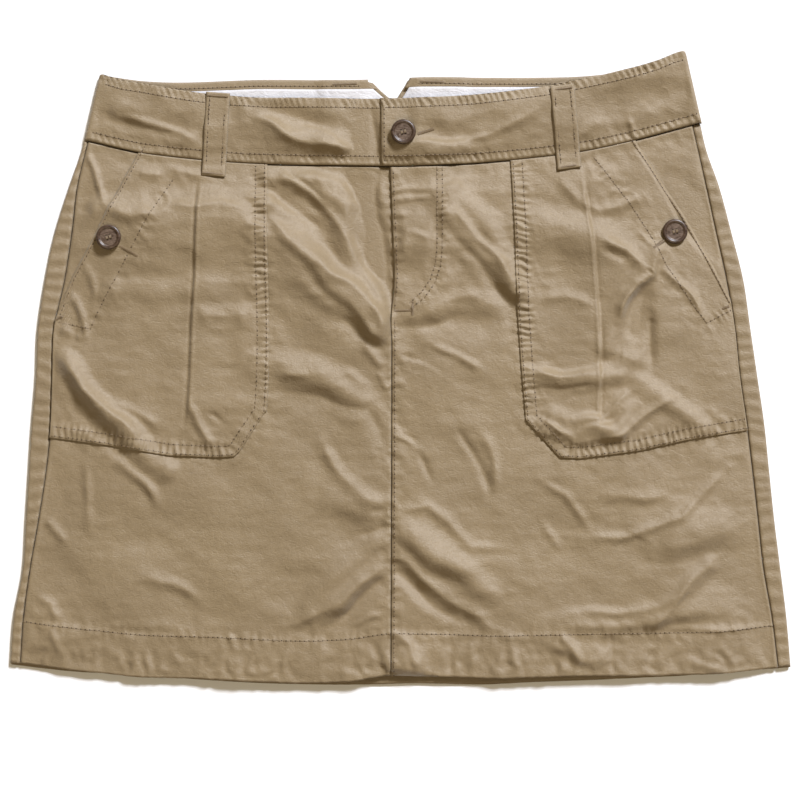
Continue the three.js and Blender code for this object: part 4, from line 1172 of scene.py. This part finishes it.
# Belt loops
# Folded strips of twill. Those on the front run over the band, and their feet stand on the pockets.
FRONT_LOOPS = {"left": (-127.4, -130.9), "right": (112.4, 118.0)}
LOOP_HALF = 8.4
LOOP_HEAD = 47.5


def front_loop_shape(panel):
    """Shape of one front loop, which bridges the band and stands on the pocket."""
    top, foot = FRONT_LOOPS[panel]

    def shape(across, up):
        over = mix(-LOOP_BELOW_SEAM, LOOP_HEAD, up)
        middle = mix(foot, top, up)
        out = mix(-LOOP_HALF, LOOP_HALF, across)
        tilt = (curve(FRONT, WAIST, middle + 8) - curve(FRONT, WAIST, middle - 8)) / 16
        x, y = middle + out, curve(FRONT, WAIST, middle) + over + tilt * out
        on_band = BAND_TOP + fold_height(middle, y) + loop_lift(x, y)
        carried = np.maximum(on_band, pocket_top(middle, y, panel))
        edge = np.minimum(LOOP_HALF - np.abs(out), (over + LOOP_BELOW_SEAM) * 0.8)
        padding = 0.25 * np.exp(-((np.abs(out) - 7) / 1.0) ** 2) + 0.25 * crumple(x, y, 8, 71)
        return x, y, carried + 1.5 + padding - rolled(edge, 0.7, 1.8)
    return shape


def loop_line(panel, out, start, end):
    """Points up a loop, shifted across from its middle line."""
    top, foot = FRONT_LOOPS[panel]
    over = np.linspace(start, end, 14)
    middle = mix(foot, top, (over + LOOP_BELOW_SEAM) / (LOOP_HEAD + LOOP_BELOW_SEAM))
    tilt = (curve(FRONT, WAIST, middle + 8) - curve(FRONT, WAIST, middle - 8)) / 16
    return np.column_stack([middle + out, curve(FRONT, WAIST, middle) + over + tilt * out])


for panel in ("left", "right"):
    node = f"belt_loop_front_{panel}"
    loop_grid = spread((0, 1, 16)), spread((0, 1, 50))
    loop = cloth(f"{node}_cloth", node, *loop_grid, front_loop_shape(panel), khaki_twill)

    def loop_top(x, y):
        on_band = BAND_TOP + fold_height(x, y) + loop_lift(x, y)
        return np.maximum(on_band, pocket_top(x, y, panel)) + 1.6

    foot_bar = [loop_line(panel, -7.2, -9, -9)[0], loop_line(panel, 7.2, -9, -9)[0]]
    head_bar = [loop_line(panel, -7.2, 45, 45)[0], loop_line(panel, 7.2, 45, 45)[0]]
    sew(
        f"belt_loop_front_{panel}_stitches",
        [loop_line(panel, -5.4, -7, 44), loop_line(panel, 5.4, -7, 44)],
        [(foot_bar, 1.6), (head_bar, 1.6)],
        loop_top,
    )


def back_loop_under(x, y):
    """Outside of the back loops, which lie on the surface."""
    return REST_GAP + 0.12 * (1 + crumple(x, y, 9, 72))


for name, middle in BACK_LOOPS.items():
    def back_loop_shape(across, up):
        x = middle + mix(LOOP_HALF, -LOOP_HALF, across)
        y = mix(curve(BACK, WAIST, x) - LOOP_BELOW_SEAM, curve(BACK, TOP, x) - 0.5, up)
        return x, y, back_loop_under(x, y)

    loop_grid = spread((0, 1, 12)), spread((0, 1, 40))
    loop = cloth(f"{name}_cloth", name, *loop_grid, back_loop_shape, khaki_twill, wall=0.0006)
    foot, head = curve(BACK, WAIST, middle) - LOOP_BELOW_SEAM, curve(BACK, TOP, middle) - 0.5
    sew(
        f"{name}_stitches",
        [[(middle + out, foot + 3), (middle + out, head - 3)] for out in (-5.4, 5.4)],
        [([(middle - 7.2, end), (middle + 7.2, end)], 1.6) for end in (foot + 2, head - 2)],
        back_loop_under,
        side=-1,
    )

# Buttons
# Turned horn discs with a raised rim, a well and four holes, sewn on through the cloth.
BUTTON_PROFILE = [
    (0, 0), (7.4, 0), (8.3, 0.5), (8.65, 1.1), (8.7, 1.6), (8.5, 2.2), (8.0, 2.62), (7.3, 2.75), (6.6, 2.62),
    (6.1, 2.3), (5.8, 2.0), (5.4, 1.88),
]
BUTTON_FLOOR, HOLE_RADIUS, HOLE_PITCH, HOLE_DEPTH = 1.88, 0.85, 1.2, 1.4
HOLE_TURN = 0.25


def horn_material(name, dark, light):
    """Polished horn with clouded streaks between two tones."""
    material = bpy.data.materials.new(name)
    material.use_nodes = True
    tree = material.node_tree
    surface = tree.nodes["Principled BSDF"]
    place = add_node(tree, "ShaderNodeTexCoord").outputs["Object"]
    stretched = add_node(tree, "ShaderNodeMapping", {
        "Vector": place, "Rotation": (0, 0, 0.6), "Scale": (1, 2.2, 1),
    })
    streaks = add_node(tree, "ShaderNodeTexNoise", {
        "Vector": stretched.outputs[0], "Scale": 240.0, "Detail": 5.0, "Roughness": 0.6, "Distortion": 1.6,
    })
    share = add_node(tree, "ShaderNodeMapRange", {
        "Value": streaks.outputs["Fac"], "From Min": 0.38, "From Max": 0.66,
    })
    colour = add_node(tree, "ShaderNodeMix", {
        0: share.outputs[0], 6: (*dark, 1), 7: (*light, 1),
    }, data_type="RGBA")
    gloss = add_node(tree, "ShaderNodeMapRange", {
        "Value": streaks.outputs["Fac"], "To Min": 0.26, "To Max": 0.48,
    })
    bump = add_node(tree, "ShaderNodeBump", {"Height": streaks.outputs["Fac"], "Distance": 0.00008})
    tree.links.new(colour.outputs[2], surface.inputs["Base Color"])
    tree.links.new(gloss.outputs[0], surface.inputs["Roughness"])
    tree.links.new(bump.outputs["Normal"], surface.inputs["Normal"])
    return material


horn_rim = horn_material("horn_rim", (0.030, 0.015, 0.008), (0.085, 0.050, 0.030))
horn_well = horn_material("horn_well", (0.048, 0.028, 0.017), (0.160, 0.110, 0.078))


def button_mesh(name):
    """Disc turned from its profile, whose floor is filled round the four holes."""
    bm = bmesh.new()
    points = [bm.verts.new((r * MM, 0, z * MM)) for r, z in BUTTON_PROFILE]
    edges = [bm.edges.new(pair) for pair in zip(points, points[1:])]
    bmesh.ops.spin(
        bm, geom=points + edges, cent=(0, 0, 0), axis=(0, 0, 1), angle=2 * math.pi, steps=64, use_merge=True,
    )
    bmesh.ops.remove_doubles(bm, verts=bm.verts, dist=0.00001)
    turned = len(bm.faces)
    well_edge = [edge for edge in bm.edges if edge.is_boundary]
    holes = []
    for k in range(4):
        angle = math.pi / 4 + k * math.pi / 2 + HOLE_TURN
        reach = HOLE_PITCH * math.sqrt(2) * MM
        matrix = Matrix.Translation((reach * math.cos(angle), reach * math.sin(angle), BUTTON_FLOOR * MM))
        ring = bmesh.ops.create_circle(
            bm, cap_ends=False, segments=16, radius=HOLE_RADIUS * MM, matrix=matrix,
        )
        holes += {edge for vert in ring["verts"] for edge in vert.link_edges}
    bmesh.ops.triangle_fill(bm, use_beauty=True, use_dissolve=False, edges=well_edge + holes)
    walls = bmesh.ops.extrude_edge_only(bm, edges=holes)["geom"]
    lowest = [part for part in walls if isinstance(part, bmesh.types.BMVert)]
    bmesh.ops.translate(bm, verts=lowest, vec=(0, 0, -HOLE_DEPTH * MM))
    bmesh.ops.holes_fill(bm, edges=[part for part in walls if isinstance(part, bmesh.types.BMEdge)], sides=16)
    bmesh.ops.recalc_face_normals(bm, faces=bm.faces)
    bm.faces.ensure_lookup_table()
    for number, face in enumerate(bm.faces):
        middle = face.calc_center_median()
        in_well = number >= turned or (math.hypot(middle.x, middle.y) < 0.0061 and middle.z > 0.001)
        face.material_index = int(in_well)
        face.smooth = number < turned
    mesh = bpy.data.meshes.new(name)
    bm.to_mesh(mesh)
    bm.free()
    mesh.materials.append(horn_rim)
    mesh.materials.append(horn_well)
    return mesh


BUTTONS = {
    "waist_button": (2.0, 164.8, lambda x, y: band_top(x, y, "right")),
    "pocket_button_left": (-203.3, 91.7, lambda x, y: pocket_top(x, y, "left")),
    "pocket_button_right": (191.7, 96.0, lambda x, y: pocket_top(x, y, "right")),
}
for name, (x, y, under) in BUTTONS.items():
    around = np.linspace(0, 2 * np.pi, 24, endpoint=False)
    reach = np.concatenate([np.full(24, 7.5), np.full(24, 4.0)])
    spots_x, spots_y = x + reach * np.tile(np.cos(around), 2), y + reach * np.tile(np.sin(around), 2)
    seat = under(spots_x, spots_y).max() + 0.15
    button = bpy.data.objects.new(f"{name}_horn", button_mesh(f"{name}_horn"))
    bpy.context.scene.collection.objects.link(button)
    button.data.transform(Matrix.Translation(Vector((x, y, seat)) * MM))
    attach(button, "root")
    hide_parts(name)
    run = np.array((math.cos(HOLE_TURN), math.sin(HOLE_TURN)))
    strands = []
    for row in (-HOLE_PITCH, HOLE_PITCH):
        middle = np.array((x, y)) + row * run
        strands.append(([middle - 0.75 * run, middle + 0.75 * run], 2 * HOLE_PITCH + 1.0))
    sew(f"{name}_thread", [], strands, lambda x, y: np.full(np.shape(x), seat + BUTTON_FLOOR))

# View
# A pale floor under soft studio light that comes mostly from the waist's side,
# a little cooler than the warm light that fills the shadows.
floor_mesh = bpy.data.meshes.new("floor")
bm = bmesh.new()
bmesh.ops.create_grid(bm, x_segments=1, y_segments=1, size=3)
bm.to_mesh(floor_mesh)
bm.free()
floor = bpy.data.objects.new("floor", floor_mesh)
floor.location.z = -0.0002
bpy.context.scene.collection.objects.link(floor)

world = bpy.data.worlds.new("studio")
bpy.context.scene.world = world
world.use_nodes = True
world.node_tree.nodes["Background"].inputs["Color"].default_value = (1.0, 0.80, 0.52, 1)
world.node_tree.nodes["Background"].inputs["Strength"].default_value = 0.185


def softbox(name, place, aim, size, watts, colour):
    """Square studio light that faces a point."""
    light = bpy.data.lights.new(name, "AREA")
    light.color = colour
    light.size = size
    light.energy = watts
    box = bpy.data.objects.new(name, light)
    box.location = place
    box.rotation_euler = (Vector(aim) - Vector(place)).to_track_quat("-Z", "Y").to_euler()
    bpy.context.scene.collection.objects.link(box)


softbox("window_light", (1.92, 3.29, 3.21), (0, 0, 0), 1.0, 405, (0.98, 1.02, 1.12))
softbox("fill_light", (-0.4, -1.8, 3.2), (0, 0, 0), 1.5, 32, (1.0, 0.85, 0.6))
bpy.context.scene.view_settings.view_transform = "Standard"

floor_paint = bpy.data.materials.new("floor_paint")
floor_paint.use_nodes = True
floor_paint.node_tree.nodes["Principled BSDF"].inputs["Base Color"].default_value = (0.9, 0.9, 0.9, 1)
floor_paint.node_tree.nodes["Principled BSDF"].inputs["Roughness"].default_value = 0.9
floor_mesh.materials.append(floor_paint)
